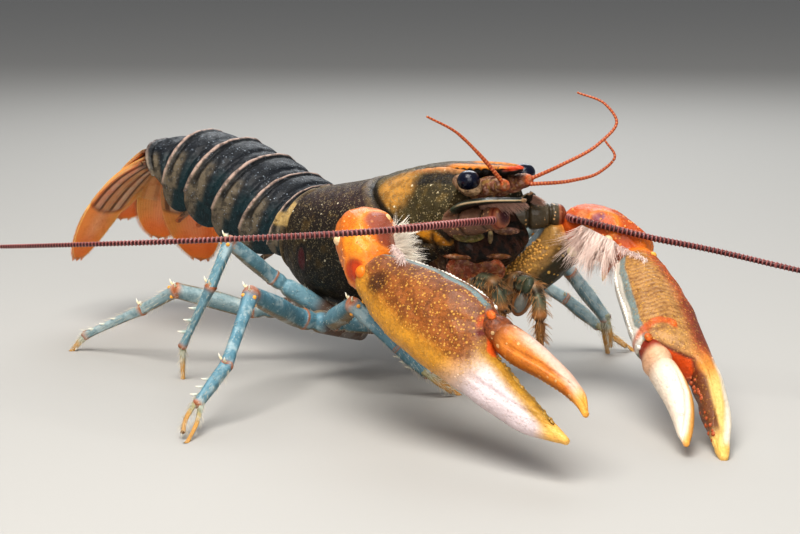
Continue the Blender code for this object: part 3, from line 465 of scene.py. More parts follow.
def make_carapace():
    rows = [(x, 0.0, 0.0, top, low, half) for x, top, low, half in CARAPACE_ROWS]
    data = spline(rows, CARAPACE_RINGS)
    turn = 2 * math.pi * (np.arange(CARAPACE_SIDES) + 0.5) / CARAPACE_SIDES
    c = np.cos(turn)[None]
    s = np.sin(turn)[None]
    middle, top, low, half = [data[:, k][:, None] for k in (0, 3, 4, 5)]
    centre = low + (top - low) * 0.46
    width = half * np.sign(c) * np.abs(c) ** 0.92
    upper = centre + (top - centre) * np.abs(s) ** 0.96
    lower = centre - (centre - low) * np.abs(s) ** 0.80
    width = np.where(s > 0, width, width * (1 - 0.12 * s * s))
    grid = np.stack([middle + 0 * width, width, np.where(s > 0, upper, lower)], 2)
    ends = [(data[k][0] + out, 0.0, (data[k][3] + data[k][4]) / 2) for k, out in ((0, -0.3), (-1, 0.5))]
    skin = Skin(grid, data[:, 0], turn, ends)
    x, y, z = [grid[:, :, k] for k in range(3)]
    away = np.abs((np.degrees(turn) - 90 + 180) % 360 - 180)[None] + 0 * x

    # relief: neck groove, fine grooves of the back, ridges behind the eyes, cheek, hind rim, warts
    split = groove(x, away)
    side_share = 1 - step_up(away, 96, 118)
    lift = -0.65 * hump(split, 0, 0.6) * side_share
    lift += 0.12 * hump(split, -1.3, 0.7) * side_share
    lift += 0.25 * hump(split, 2.6, 2.2) * side_share * step_up(away, 10, 40)
    areola = hump(np.abs(y) - 1.3, 0.03 * np.abs(x + 38), 0.35)
    lift -= 0.22 * areola * step_up(-x, 31, 33) * (z > 24)
    ridge_line = 3.4 + 0.19 * (-11.6 - x)
    ridge = hump(np.abs(y), ridge_line, 0.5) * (z > 26)
    lift += 0.50 * ridge * step_up(x, -22, -17)
    lobe = np.sqrt(((x + 11.8) / 3.8) ** 2 + ((z - 23.0) / 2.5) ** 2)
    fold = hump(x + 11.0, 0.15 * (z - 23), 0.35) * (1 - step_up(lobe, 0.7, 1.0))
    lift += 0.30 * hump(lobe, 0, 1) - 0.28 * fold
    lift -= 0.35 * hump(x, -45.2, 0.28)
    lift += 0.25 * hump(x, -45.9, 0.35)
    warts = np.sin(x * 2.1 + 3 * np.sin(z * 0.9)) * np.sin(z * 1.9 + 2 * np.sin(x * 0.7 + y))
    lift += 0.07 * warts * step_up(split, 0, 4)
    skin.push(lift)

    # colours: back and flank, head, cheek, ridges, side spot, neck groove with a painted highlight
    # on the ridge behind it, hind rim
    head = step_up(split, -0.3, 0.3)
    tint = Tint(grid, "1e1a12", 0.45)
    tint.lay("2c211d", 0.95, step_up(z, 20, 26) * (1 - head))
    tint.lay("3c2b2a", 0.95, band(z, 29.0, 1.6, 2.6) * (1 - head))
    tint.lay("141410", 0.35, step_up(-z, -15, -9) * (1 - head))
    tint.lay("42391f", 0.95, head)
    for sign in (-1, 1):
        golden_cloud = (-20.2, -6.9 * sign, 29.8)
        tint.lay("c48c3e", 0.8, 0.95 * blob(grid, golden_cloud, 5.2, 0.6))
    tint.lay("43381f", 0.9, 0.7 * step_up(-z, -27, -24) * head)
    tint.lay("cf8a24", 0.35, (1 - step_up(lobe, 0.72, 1.08)) * head)
    tint.lay("3a2410", 0.2, 0.85 * fold)
    cheek_end = band(lobe, 1.12, 0.10, 0.10) * step_up(x, -12, -9)
    tint.lay("1c100c", 0.0, 0.9 * cheek_end)
    under_ridge = band(np.abs(y), ridge_line + 1.7, 0.75, 0.5) * step_up(x, -18.5, -15) * (z > 28)
    tint.lay("100d0a", 0.25, 0.92 * under_ridge)
    tint.lay("d99660", 0.2, 0.92 * ridge * step_up(x, -21, -16))
    oval = np.sqrt(((x + 38.5) / 1.1) ** 2 + ((z - 17.4) / 1.9) ** 2)
    tint.lay("0c0807", 0.0, band(oval, 1.15, 0.12, 0.12))
    tint.lay("48151a", 0.0, 1 - step_up(oval, 0.8, 1.0))
    tint.lay("17130a", 0.2, 0.92 * band(split, 0.45, 0.75, 0.7) * side_share)
    # painted highlight: a pale line on the ridge behind the neck groove, where it would catch the light
    tint.lay("6e5f50", 0.9, 0.6 * band(split, -1.3, 0.4, 0.5) * side_share)
    tint.lay("463a24", 0.95, 0.6 * band(away, 0, 12, 16) * (1 - head))
    tint.lay("6a5a42", 0.3, step_up(-x, 45.3, 45.8))
    wedge = step_up(-x - 45.0 + 0.22 * (25.4 - z), -0.2, 0.3) * band(z, 23.3, 1.5, 0.4)
    tint.lay("b89a62", 0.8, 0.85 * wedge)
    return Heap(skin.mesh(tint))


CARAPACE_CHITIN = carapace_finish()
carapace = make_carapace()

# The rostrum is the beak of the carapace and one piece with it: flat on top, with a raised orange
# edge on each side over a black scalloped one, and a red point.
ROSTRUM_ROWS = [
    (-17.5, 0.0, 32.8, 4.0, 1.1),
    (-11.0, 0.0, 33.4, 3.3, 1.1),
    (-5.5, 0.0, 33.9, 2.6, 0.9),
    (-2.8, 0.0, 34.2, 1.4, 0.65),
    (-1.6, 0.0, 34.4, 0.55, 0.4),
]


def frames(points, side):
    """Tangent, width and height axes along a path, with the width axis kept close to side."""
    tangents = np.gradient(points, axis=0)
    t = tangents / np.linalg.norm(tangents, axis=1, keepdims=True)
    side = np.array(side, float)
    w = side - (t @ side)[:, None] * t
    w = w / np.linalg.norm(w, axis=1, keepdims=True)
    return t, w, np.cross(t, w)


def limb(rows, side, sides=40, rings=60, power=2.2, blunt=(0.7, 0.7), cap=6):
    """A tapering limb along rows of x, y, z, half width, half height, with rounded ends."""
    data = spline(rows, rings)
    points = data[:, :3]
    t, w, h = frames(points, side)
    wide = data[:, 3]
    high = data[:, 4]
    depth = [blunt[0] * (wide[0] + high[0]) / 2, blunt[1] * (wide[-1] + high[-1]) / 2]
    lean = np.linspace(0, math.pi / 2, cap + 1)[1:-1]
    places = [points]
    across = [w]
    up = [h]
    widths = [wide]
    heights = [high]
    for end, way in ((0, -1), (-1, 1)):
        order = lean[::-1] if way < 0 else lean
        out = points[end] + t[end] * (np.sin(order) * depth[end] * way)[:, None]
        slot = 0 if way < 0 else len(places)
        places.insert(slot, out)
        across.insert(slot, np.repeat(w[end][None], len(order), 0))
        up.insert(slot, np.repeat(h[end][None], len(order), 0))
        widths.insert(slot, wide[end] * np.cos(order))
        heights.insert(slot, high[end] * np.cos(order))
    places, across, up = [np.concatenate(a) for a in (places, across, up)]
    widths, heights = [np.concatenate(a) for a in (widths, heights)]
    turn = 2 * math.pi * (np.arange(sides) + 0.5) / sides
    c = np.sign(np.cos(turn)) * np.abs(np.cos(turn)) ** (2 / power)
    s = np.sign(np.sin(turn)) * np.abs(np.sin(turn)) ** (2 / power)
    grid = places[:, None] + across[:, None] * (widths[:, None] * c)[..., None]
    grid = grid + up[:, None] * (heights[:, None] * s)[..., None]
    step = np.linalg.norm(np.diff(places, axis=0), axis=1)
    along = np.concatenate([[0.0], np.cumsum(step)])
    poles = [points[0] - t[0] * depth[0], points[-1] + t[-1] * depth[1]]
    return Skin(grid, along, turn, poles)


def make_rostrum(heap):
    skin = limb(ROSTRUM_ROWS, (0, 1, 0), sides=96, rings=150, power=2.6, blunt=(0.5, 0.9))
    c = np.cos(skin.turn)[None]
    s = np.sin(skin.turn)[None]
    x = skin.grid[:, :, 0]
    fore = step_up(x, -17, -12)
    scallop = np.abs(np.sin(x * 2.4))
    side_face = np.abs(c) > 0.35
    edge = band(s, 0.55, 0.30, 0.12) * side_face
    lift = 0.30 * edge * fore - 0.40 * (1 - np.abs(c)) * (s > 0) * fore
    lift += 0.24 * band(s, -0.15, 0.20, 0.15) * side_face * scallop * fore
    skin.push(lift)
    tint = Tint(skin.grid, "4a3d26", 0.8)
    tint.lay("6b4a34", 0.5, 0.7 * fore * (s > 0))
    low_line = 0.16 + 0.16 * scallop
    gold = step_up(s, low_line - 0.05, low_line + 0.05) * (1 - step_up(s, 0.90, 0.97)) * side_face
    notch = step_up(x, -6.5, -4.5) * (1 - step_up(scallop, 0.10, 0.30)) * (s < 0.65)
    tint.lay("dc8424", 0.0, step_up(x, -14.5, -11) * gold * (1 - 0.9 * notch))
    tint.lay("0e0a07", 0.0, fore * (1 - step_up(s, low_line - 0.10, low_line)))
    tint.lay("d24a1c", 0.0, step_up(x, -3.6, -2.2) * step_up(s, -0.2, 0.2))
    heap.add(skin.mesh(tint))


make_rostrum(carapace)
carapace.piece("carapace_shell", CARAPACE_CHITIN, "shell", "carapace")

# The thorax is the body under the carapace. It shows as the warty face between the eyes and the
# feelers, with the flaps of the mouth grown onto it, and as the soft pale skin between the legs.
THORAX_ROWS = [
    # x, bottom z, top z, half width
    (-50.0, 14.5, 22.0, 5.5),
    (-44.0, 9.6, 22.0, 6.4),
    (-35.0, 7.8, 22.0, 6.6),
    (-26.0, 8.6, 24.0, 6.6),
    (-18.0, 11.8, 26.5, 6.6),
    (-12.0, 16.5, 29.0, 6.9),
    (-7.6, 20.0, 31.0, 6.9),
]


def face_finish():
    made = Finish("face_skin", roughness=(0.4, 0.6), gloss=0.15, bump=0.8, grain=0.0005)
    made.paint("4a2a1c", 0.6, False, CLOUDS, Spacing=0.0013, Low=0.44, High=0.56)
    made.paint("a8863e", 0.55, True, CLOUDS, Spacing=0.0009, Low=0.50, High=0.60)
    made.paint("d6b2a0", 0.6, True, CLOUDS, Spacing=0.0007, Low=0.52, High=0.62)
    warts = made.paint("d9b08c", 0.4, True, SPECKS, "Dome", Spacing=0.0009, Size=0.5, Share=0.8)
    made.raise_by(warts, 1.0)
    return made.done(0.0002)


FACE_SKIN = face_finish()
MOUTH_ACROSS = (0.66, 0.75, 0.0)
MOUTH_PARTS = [
    # centre, radii sideways, upwards and forwards, colour
    ((-5.8, -6.0, 24.7), (2.3, 0.9, 0.8), "77713c"),
    ((-4.8, -2.6, 24.4), (0.40, 1.1, 0.5), "a8966c"),
    ((-4.6, 0.6, 24.9), (1.9, 0.6, 0.6), "7c5648"),
    ((-7.4, -5.9, 21.5), (2.7, 0.45, 0.9), "93592f"),
    ((-5.9, -3.5, 21.5), (2.7, 0.45, 0.9), "9c6236"),
    ((-4.8, -1.4, 21.3), (2.2, 0.45, 0.9), "88532d"),
    ((-7.4, -5.2, 19.7), (2.8, 2.2, 0.8), "96482a"),
    ((-5.6, -2.6, 19.2), (2.8, 2.2, 0.7), "a85632"),
]


def globe(centre, radii, axis, side, sides, rings):
    """An ellipsoid with its first radius along axis."""
    axis = unit(axis)
    side = unit(np.array(side) - np.dot(side, axis) * axis)
    up = np.cross(axis, side)
    angle = math.pi * np.arange(1, rings) / rings
    turn = 2 * math.pi * np.arange(sides) / sides
    centre = np.array(centre, float)
    ring = side * (radii[1] * np.cos(turn))[:, None] + up * (radii[2] * np.sin(turn))[:, None]
    middle = centre - axis * (radii[0] * np.cos(angle))[:, None]
    grid = middle[:, None] + ring[None] * np.sin(angle)[:, None, None]
    return Skin(grid, angle, turn, [centre - axis * radii[0], centre + axis * radii[0]])


def make_thorax():
    rows = [(x, 0.0, (low + high) / 2, half, (high - low) / 2) for x, low, high, half in THORAX_ROWS]
    skin = limb(rows, (0, 1, 0), sides=110, rings=170, power=2.6, blunt=(0.2, 0.15))
    x, y, z = [skin.grid[:, :, k] for k in range(3)]
    lift = 0.15 * np.sin(x * 1.1) * (z < 16) + 0.25 * np.sin(x * 2.4) * np.sin(y * 1.7) * (x > -10)
    skin.push(lift)
    tint = Tint(skin.grid, "8f7f6c", 0.1)
    tint.lay("4a3220", 0.3, step_up(x, -24, -14))
    tint.lay("9c6650", 1.0, step_up(x, -11, -8) * step_up(z, 26, 28))
    # painted shade: a near-black band across the face stands for the shaded hollow of the mouth
    tint.lay("0d0907", 0.0, 0.97 * step_up(x, -12, -9) * band(z, 23.4, 2.8, 1.2))
    tint.lay("4a1c10", 0.5, step_up(x, -14, -10) * step_up(-z, -19.6, -18.4))
    heap = Heap(skin.mesh(tint))
    for centre, radii, colour in MOUTH_PARTS:
        plate = globe(centre, radii, MOUTH_ACROSS, (0, 0, 1), 28, 18)
        shade = Tint(plate.grid, colour, 0.5)
        rim = step_up(np.abs(np.sin(plate.turn)), 0.75, 1.0)[None] * np.sin(plate.along)[:, None]
        shade.lay("2a140c", 0.0, 0.6 * rim)
        heap.add(plate.mesh(shade))
    heap.piece("thorax_skin", FACE_SKIN, "belly", "thorax")


make_thorax()

# The abdomen is six overlapping rings of blue-black chitin. Each ring has a pale raised hind edge,
# a shallow groove across its back and a teal side plate, and slides under the ring in front of it.
# Four of the rings carry a pair of small flat swimming limbs below.
LAST_RING = 6
ABDOMEN_STATIONS = 54
ARCH_POINTS = 121
UNDER_POINTS = 72
PLATE_POINTS = 8
ABDOMEN_BACK = [
    # hind edge's dorsal point, half width, arch height, side plate depth, rise and turn in degrees
    (-45.0, 0.0, 26.2, 9.3, 8.6, 1.5, 8.0, 2.0),
    (-47.4, 0.0, 26.8, 9.6, 8.8, 2.0, 14.0, 3.0),
    (-52.4, -0.7, 28.4, 9.9, 8.9, 4.6, 24.0, 6.0),
    (-58.5, -1.7, 31.0, 9.9, 8.9, 4.6, 25.0, 9.0),
    (-65.2, -3.0, 33.2, 9.7, 8.7, 4.4, 23.0, 11.0),
    (-72.6, -4.7, 34.0, 9.1, 8.2, 4.0, 12.0, 15.0),
    (-81.2, -7.9, 31.7, 7.0, 5.8, 1.6, -36.0, 20.0),
]
SWIMMERET_LENGTH = 6.0
SWIMMERET_RINGS = (2, 3, 4, 5)


def abdomen_finish():
    made = Finish("abdomen_chitin", roughness=(0.38, 0.55), gloss=0.10, bump=0.45)
    made.paint("080b10", 0.55, False, CLOUDS, Spacing=0.0011, Low=0.47, High=0.6)
    made.paint("8a96a2", 0.35, True, CLOUDS, Spacing=0.0006, Low=0.58, High=0.68)
    fine = made.paint("a9b4be", 0.7, True, SPECKS, Spacing=0.00045, Size=0.28, Share=0.45)
    made.raise_by(fine, 0.4)
    return made.done()


def abdomen_axes():
    """Axes at the hind edge of each ring: backwards, to the side and up."""
    out = []
    for row in ABDOMEN_BACK:
        rise = math.radians(row[6])
        turn = math.radians(row[7])
        back = np.array((-math.cos(rise) * math.cos(turn), -math.cos(rise) * math.sin(turn), math.sin(rise)))
        across = unit(np.cross((0, 0, 1), back))
        out.append((back, across, np.cross(back, across)))
    return out


def abdomen_section(place, axes, half, arch, plate):
    """An arched section with a side plate hanging at each end and a hollowed underside."""
    _, w, up = axes
    shoulder = np.array(place) - up * arch
    angle = math.pi * np.linspace(0, 1, ARCH_POINTS)
    c = np.cos(angle)
    y = half * np.sign(c) * np.abs(c) ** 0.9
    dome = shoulder + w * y[:, None] + up * (arch * np.sin(angle).clip(0) ** 0.95)[:, None]
    tip = half * 0.93
    inner = half - 2.2
    belly = 2.4
    hollow = min(belly, plate * 0.8)
    low = [dome[-1], shoulder - w * tip - up * plate, shoulder - w * (tip - 1.0) - up * (plate - 0.1),
           shoulder - w * inner - up * hollow, shoulder - w * inner * 0.6 - up * belly,
           shoulder - up * (belly + 0.3), shoulder + w * inner * 0.6 - up * belly,
           shoulder + w * inner - up * hollow, shoulder + w * (tip - 1.0) - up * (plate - 0.1),
           shoulder + w * tip - up * plate, dome[0]]
    low = np.array(low)
    at = np.linspace(0, len(low) - 1, UNDER_POINTS + 2)[1:-1]
    rest = np.stack([np.interp(at, np.arange(len(low)), low[:, k]) for k in range(3)], 1)
    return np.concatenate([dome, rest])


def abdomen_skin(index):
    """The ring between two hind edges; its fore part slides under the ring in front."""
    rows = np.array(ABDOMEN_BACK, float)
    axes = abdomen_axes()
    front = rows[index - 1]
    rear = rows[index]
    inset = 0.9
    under = (front[:3] - axes[index - 1][0] * 1.5) - axes[index - 1][2] * inset
    knots = (0.0, 0.22, 0.5, 0.8, 1.0)
    rings = []
    places = np.linspace(0, 1, ABDOMEN_STATIONS)
    for f in places:
        sunk = np.interp(f, knots, (1.0, 0.55, 0.25, 0.05, 0.0))
        hang = 0.30 + 0.70 * math.sin(math.pi * min(1.0, (f + 0.06) / 1.06)) ** 0.55
        axis = [unit(axes[index - 1][k] * (1 - f) + axes[index][k] * f) for k in range(3)]
        place = under * (1 - f) + rear[:3] * f + axis[2] * 0.5 * math.sin(math.pi * f)
        half = front[3] * (1 - f) + rear[3] * f - inset * sunk
        arch = front[4] * (1 - f) + rear[4] * f - inset * sunk
        plate = max((front[5] * (1 - f) + rear[5] * f) * hang, 0.6)
        rings.append(abdomen_section(place, axis, half, arch, plate))
    rings = np.array(rings)
    poles = [rings[0].mean(0), rings[-1].mean(0)]
    return Skin(rings, places, np.linspace(0, 1, rings.shape[1]), poles)


def make_abdomen(index):
    skin = abdomen_skin(index)
    f = skin.along[:, None]
    k = np.arange(skin.grid.shape[1])[None]
    side = np.abs(k / (ARCH_POINTS - 1) * 2 - 1)
    dome = (k < ARCH_POINTS) * 1.0
    under = k - ARCH_POINTS
    plate = ((under >= 0) & (under < PLATE_POINTS)) | (under >= UNDER_POINTS - PLATE_POINTS)
    top = dome * (1 - step_up(side, 0.80, 0.95))
    lift = 0.30 * hump(f, 0.955, 0.05) * dome
    lift = lift - 0.22 * hump(f, 0.85, 0.04) * top
    lift = lift - 0.30 * hump(f, 0.40, 0.06) * top
    wave = np.sin(f * 17 + 4 * np.sin(side * 5)) * np.sin(side * 23 + 2 * np.sin(f * 9))
    lift = lift + 0.07 * wave * top
    skin.push(lift)
    tint = Tint(skin.grid, "10151c", 0.8)
    flank = np.maximum(dome * step_up(side, 0.46, 0.66), plate * 1.0)
    tint.lay("12282c", 0.15, flank * (1 - step_up(f, 0.42, 0.60)))
    brown = flank * step_up(f + 0.25 * (side - 0.7) * dome, 0.50, 0.68)
    tint.lay("6a5f4e", 0.5, 0.92 * brown)
    tint.lay("0a2a2e", 0.1, 0.8 * plate * band(f, 0.35, 0.2, 0.15))
    tint.lay("070a0d", 0.2, 0.85 * band(f, 0.84, 0.04, 0.05) * top)
    strength = 0.3 if index == LAST_RING else 0.9
    rim = strength * band(f, 0.965, 0.03, 0.022) * (1 - 0.45 * step_up(side, 0.6, 0.95))
    tint.lay("bfa394", 0.1, rim * dome)
    tint.lay("9c8468", 0.2, 0.7 * rim * plate)
    if index == 1:
        wedge = dome * band(side, 0.68, 0.06, 0.05) * step_up(f, 0.1, 0.4)
        tint.lay("b89a62", 0.8, 0.85 * wedge)
    belly = (under > PLATE_POINTS) & (under < UNDER_POINTS - PLATE_POINTS - 1)
    tint.lay("8b7f74", 0.2, belly)
    heap = Heap(skin.mesh(tint))
    if index in SWIMMERET_RINGS:
        add_swimmerets(heap, index)
    heap.piece(f"ring_{index}", ABDOMEN_CHITIN, "abdomen", f"abdomen_{index}")


def add_swimmerets(heap, index):
    back, across, up = abdomen_axes()[index]
    row = ABDOMEN_BACK[index]
    middle = np.array(row[:3]) - up * row[4] - back * 3.1
    for sign in (-1.0, 1.0):
        rows = []
        for f in (0.0, 0.5, 1.0):
            point = middle + across * sign * (2.5 + 1.2 * f) - up * (1.2 + SWIMMERET_LENGTH * f)
            point = point + back * 2.6 * f * f
            rows.append((*point, 0.7 + 0.45 * math.sin(math.pi * f), 0.4))
        skin = limb(rows, across, sides=20, rings=24, power=2.0)
        skin.push(-0.12 * hump(skin.along[:, None], 3.0, 0.5))
        tint = Tint(skin.grid, "9a7d62", 0.2)
        tint.lay("c96a36", 0.1, step_up(skin.along, 4.5, 7.5)[:, None])
        heap.add(skin.mesh(tint))


ABDOMEN_CHITIN = abdomen_finish()
for ring_index in range(1, LAST_RING + 1):
    make_abdomen(ring_index)

# The tail fan is the telson and two pairs of thin overlapping blades, hinged on the last ring. Their
# bases are hard and tan with dark lines, and the outer halves are soft, orange and finely ribbed,
# with a hair fringe.
FAN_AXIS = unit((-0.86, 0.05, -0.51))
FAN_LEAN = np.array((0.06, 1.0, -0.15))
FAN_SIDE = unit(FAN_LEAN - np.dot(FAN_LEAN, FAN_AXIS) * FAN_AXIS)
FAN_UP = np.cross(FAN_SIDE, FAN_AXIS)
FAN_ROOT = np.array((-80.2, -7.6, 30.0))
FAN_CUP = 0.030
FAN_REACH = 20.0
FAN_CURL = 5.2
FAN_SPREAD = {"right": (13.0, 22.0), "left": (16.0, 31.0)}
INNER_LENGTH = {"right": 17.8, "left": 20.0}
OUTER_BLADE = {"right": (19.0, 4.2, 9.0), "left": (21.0, 5.0, 5.2)}
SIDES = {"right": -1.0, "left": 1.0}
FRINGE_LENGTH = 0.8
FRINGE_HAIRS = 4
BLADE_ROWS = 110
BLADE_COLUMNS = 71
SEAM = 0.62
SEAM_BOW = 0.06


def fan_place(spread, drop, root_side, length, curl):
    """Placement of a fan blade: turned by spread, a layer lower by drop, cupped with the whole fan."""
    turn = math.radians(spread)

    def place(u, v):
        along = u * length * math.cos(turn) - v * math.sin(turn)
        across = root_side + u * length * math.sin(turn) + v * math.cos(turn)
        reach = np.maximum(0.0, along / FAN_REACH)
        fall = FAN_CUP * across * across * (0.35 + 0.65 * reach) + curl * reach * reach + drop
        return (FAN_ROOT + FAN_AXIS * along[..., None] + FAN_SIDE * across[..., None]
                - FAN_UP * fall[..., None])

    return place


def fan_half(width, base, u):
    """Half width of a blade that widens from its base and ends round."""
    wide = base + (width - base) * np.sin(np.minimum(u, 0.6) / 0.6 * math.pi / 2)
    end = width * np.sqrt(np.maximum(0.03, 1 - (np.maximum(u - 0.6, 0.0) / 0.41) ** 2))
    return np.where(u < 0.6, wide, end)


def sheet_mesh(middle, half, tint):
    """A closed thin sheet of half thickness half round a grid of points."""
    du = np.gradient(middle, axis=0)
    dv = np.gradient(middle, axis=1)
    normal = np.cross(du, dv)
    normal = normal / np.maximum(np.linalg.norm(normal, axis=2, keepdims=True), 1e-9)
    rows, columns, _ = middle.shape
    count = rows * columns
    verts = np.concatenate([(middle + normal * half[..., None]).reshape(-1, 3),
                            (middle - normal * half[..., None]).reshape(-1, 3)])
    a = (np.arange(rows - 1)[:, None] * columns + np.arange(columns - 1)[None]).ravel()
    faces = np.stack([a, a + columns, a + columns + 1, a + 1], 1).tolist()
    faces += np.stack([a + count, a + count + 1, a + count + columns + 1, a + count + columns], 1).tolist()
    border = list(range(columns)) + [i * columns + columns - 1 for i in range(1, rows)]
    border += [(rows - 1) * columns + j for j in range(columns - 2, -1, -1)]
    border += [i * columns for i in range(rows - 2, 0, -1)]
    for k, a in enumerate(border):
        b = border[(k + 1) % len(border)]
        faces.append([a, b, b + count, a + count])
    return verts, faces, np.tile(tint.values.reshape(count, 4), (2, 1))


def circle_round(axis, sides):
    """A unit circle of points round an axis, the second axis of its plane and the points' turns."""
    side = unit(np.cross(axis, (0.31, 0.52, 0.79)))
    up = np.cross(axis, side)
    turn = 2 * math.pi * np.arange(sides) / sides
    return side * np.cos(turn)[:, None] + up * np.sin(turn)[:, None], up, turn


def pointed(rings, tip, colour):
    """Rings of points that end in a tip, in one colour and open at the foot."""
    levels, sides, _ = rings.shape
    last = (levels - 1) * sides
    faces = tube_faces(levels, sides)
    faces += [[last + k, last + (k + 1) % sides, last + sides] for k in range(sides)]
    verts = np.concatenate([rings.reshape(-1, 3), tip[None]])
    return verts, faces, np.tile((*colour, 0.0), (len(verts), 1))


def bristle(root, direction, length, radius, bend, colour, steps=3):
    """One tapered hair of triangular section that bows towards bend and is darker at its root."""
    direction = unit(direction)
    ring, _, _ = circle_round(direction, 3)
    f = np.linspace(0, 1, steps + 1)
    path = np.array(root) + direction * (f * length)[:, None] + np.array(bend) * (length * f * f)[:, None]
    size = radius * (1 - 0.75 * f)
    verts, faces, shade = pointed(path[:, None] + ring[None] * size[:, None, None],
                                  path[-1] + direction * radius, colour)
    shade[:3, :3] = shade[:3, :3] * 0.7
    return verts, [[2, 1, 0]] + faces, shade


def scatter(draw, reach):
    """Three random numbers within reach of 0."""
    return np.array([draw.uniform(-reach, reach) for _ in range(3)])


def hair_finish():
    made = bpy.data.materials.new("bristles")
    made.use_nodes = True
    shader = made.node_tree.nodes["Principled BSDF"]
    tint = made.node_tree.nodes.new("ShaderNodeAttribute")
    tint.attribute_name = "tint"
    made.node_tree.links.new(tint.outputs["Color"], shader.inputs["Base Color"])
    shader.inputs["Roughness"].default_value = 0.5
    shader.inputs["Sheen Weight"].default_value = 0.3
    return made


def fan_finish():
    made = Finish("fan_blade", roughness=(0.34, 0.55), gloss=0.15, bump=0.5)
    made.shader.inputs["Subsurface Weight"].default_value = 0.6
    made.shader.inputs["Subsurface Scale"].default_value = 1.0
    made.shader.inputs["Subsurface Radius"].default_value = (0.003, 0.0015, 0.0006)
    made.paint("c0622c", 0.30, False, CLOUDS, Spacing=0.0022, Low=0.5, High=0.68)
    made.paint("5a2c14", 0.6, True, SPECKS, Spacing=0.0009, Size=0.2, Share=0.5)
    return made.done()


BRISTLES = hair_finish()
FAN_BLADE = fan_finish()


def make_blade(node, spread, drop, root_side, length, width, base, curl, thickness, fringe, draw):
    u = np.sin(math.pi / 2 * np.linspace(0, 1, BLADE_ROWS))
    f = np.linspace(-1, 1, BLADE_COLUMNS)
    half = fan_half(width, base, u)
    along = np.repeat(u[:, None], BLADE_COLUMNS, 1)
    across = np.repeat(f[None], BLADE_ROWS, 0)
    bowed = along + SEAM_BOW * across * across
    middle = fan_place(spread, drop, root_side, length, curl)(along, across * half[:, None])
    edge = np.minimum(np.minimum((1 + across) / 2, (1 - across) / 2), 1 - along) * 4
    thick = thickness * (0.45 + 0.55 * np.minimum(1.0, edge)) / 2
    hard = 1 - step_up(bowed, SEAM - 0.03, SEAM + 0.03)
    bony = {"telson": 1.0 - step_up(along, 0.25, 0.45), "outer": hard, "inner": 0.25 * hard}
    stiff = bony[node.split("_")[-1]]
    thick = thick + 0.30 * (1 - along) * hump(across, 0, 0.10)
    for strip in (-0.55, 0.55):
        thick = thick + 0.14 * stiff * hump(across, strip, 0.12)
    ribs = 0.5 + 0.5 * np.cos(across * 60)
    thick = thick * (1 - 0.22 * (1 - hard) * ribs)
    thick = thick - 0.10 * hump(bowed, SEAM, 0.012)
    tint = Tint(middle, "f09a4e", 0.1)
    # painted highlight: a soft pale pinkish zone in the middle of the blade
    tint.lay("eab08c", 0.1, 0.6 * hump(across, 0, 0.45) * band(along, 0.5, 0.25, 0.25))
    tint.lay("d8823e", 0.2, 0.25 * (1 - hard) * ribs)
    tint.lay("a98258", 0.5, 0.75 * (1 - step_up(along, 0.10, 0.40)))
    tint.lay("b0855e", 0.6, 0.75 * stiff)
    tint.lay("c8a286", 0.7, 0.85 * stiff * band(np.abs(across), 0.55, 0.16, 0.10))
    lines = band(np.abs(across), 0.30, 0.06, 0.04) + band(np.abs(across), 0.80, 0.06, 0.04)
    tint.lay("4b2a18", 0.3, 0.8 * stiff * np.minimum(lines, 1.0))
    seam = hump(bowed, SEAM, 0.02)
    tint.lay("6a3a1c", 0.2, 0.5 * seam * (stiff.max() > 0.5))
    # painted shade: the far, lower end of the blade is darker orange-brown
    tint.lay("c8602c", 0.2, 0.6 * step_up(along, 0.72, 1.0))
    tint.lay("f8bc80", 0.0, 0.6 * step_up(np.abs(across), 0.93, 1.0) * (1 - hard))
    tint.lay("2a2a30", 0.4, 0.7 * (1 - step_up(along, 0.0, 0.10)))
    Heap(sheet_mesh(middle, thick, tint)).piece(f"{node}_blade", FAN_BLADE, "fan", node)

    last_column = BLADE_COLUMNS - 1
    rim = [(i, j) for j in (0, last_column) for i in range(int(BLADE_ROWS * 0.42), BLADE_ROWS)]
    rim += [(BLADE_ROWS - 1, j) for j in range(BLADE_COLUMNS)]
    for i, j in rim:
        outward = middle[i, j] - middle[i - 4, min(max(j, 6), last_column - 6)]
        for _ in range(FRINGE_HAIRS):
            jitter = scatter(draw, 0.12)
            size = FRINGE_LENGTH * draw.uniform(0.6, 1.1)
            root = middle[i, j] - unit(outward) * 0.15
            shade = np.array(linear("d98a4e")) * draw.uniform(0.7, 1.25)
            hair = bristle(root, unit(outward) + jitter, size, 0.03, (0, 0, -0.08), shade, 2)
            fringe.add(hair, (0.02 + 0.96 * i / BLADE_ROWS, 0.02 + 0.96 * j / BLADE_COLUMNS))


def make_fan():
    draw = random.Random(11)
    fringe = Heap()
    make_blade("telson", 0, 0.0, 0.0, 18.5, 5.4, 4.0, FAN_CURL, 1.1, fringe, draw)
    for side, sign in SIDES.items():
        near, far = FAN_SPREAD[side]
        make_blade(f"uropod_{side}_inner", near * sign, 1.35, 1.6 * sign, INNER_LENGTH[side], 4.6, 2.2,
                   FAN_CURL, 0.9, fringe, draw)
        length, width, curl = OUTER_BLADE[side]
        make_blade(f"uropod_{side}_outer", far * sign, 2.6, 3.2 * sign, length, width, 2.4, curl, 0.9,
                   fringe, draw)
    fringe.piece("fan_fringe", BRISTLES, "fan", coat=True)


make_fan()

# Each eye is a glossy black globe in a cream socket, and sits on a short jointed stalk under the
# rostrum's edge.
EYE_RADIUS = 1.7
EYE_REACH = {"right": 6.0, "left": 5.0}


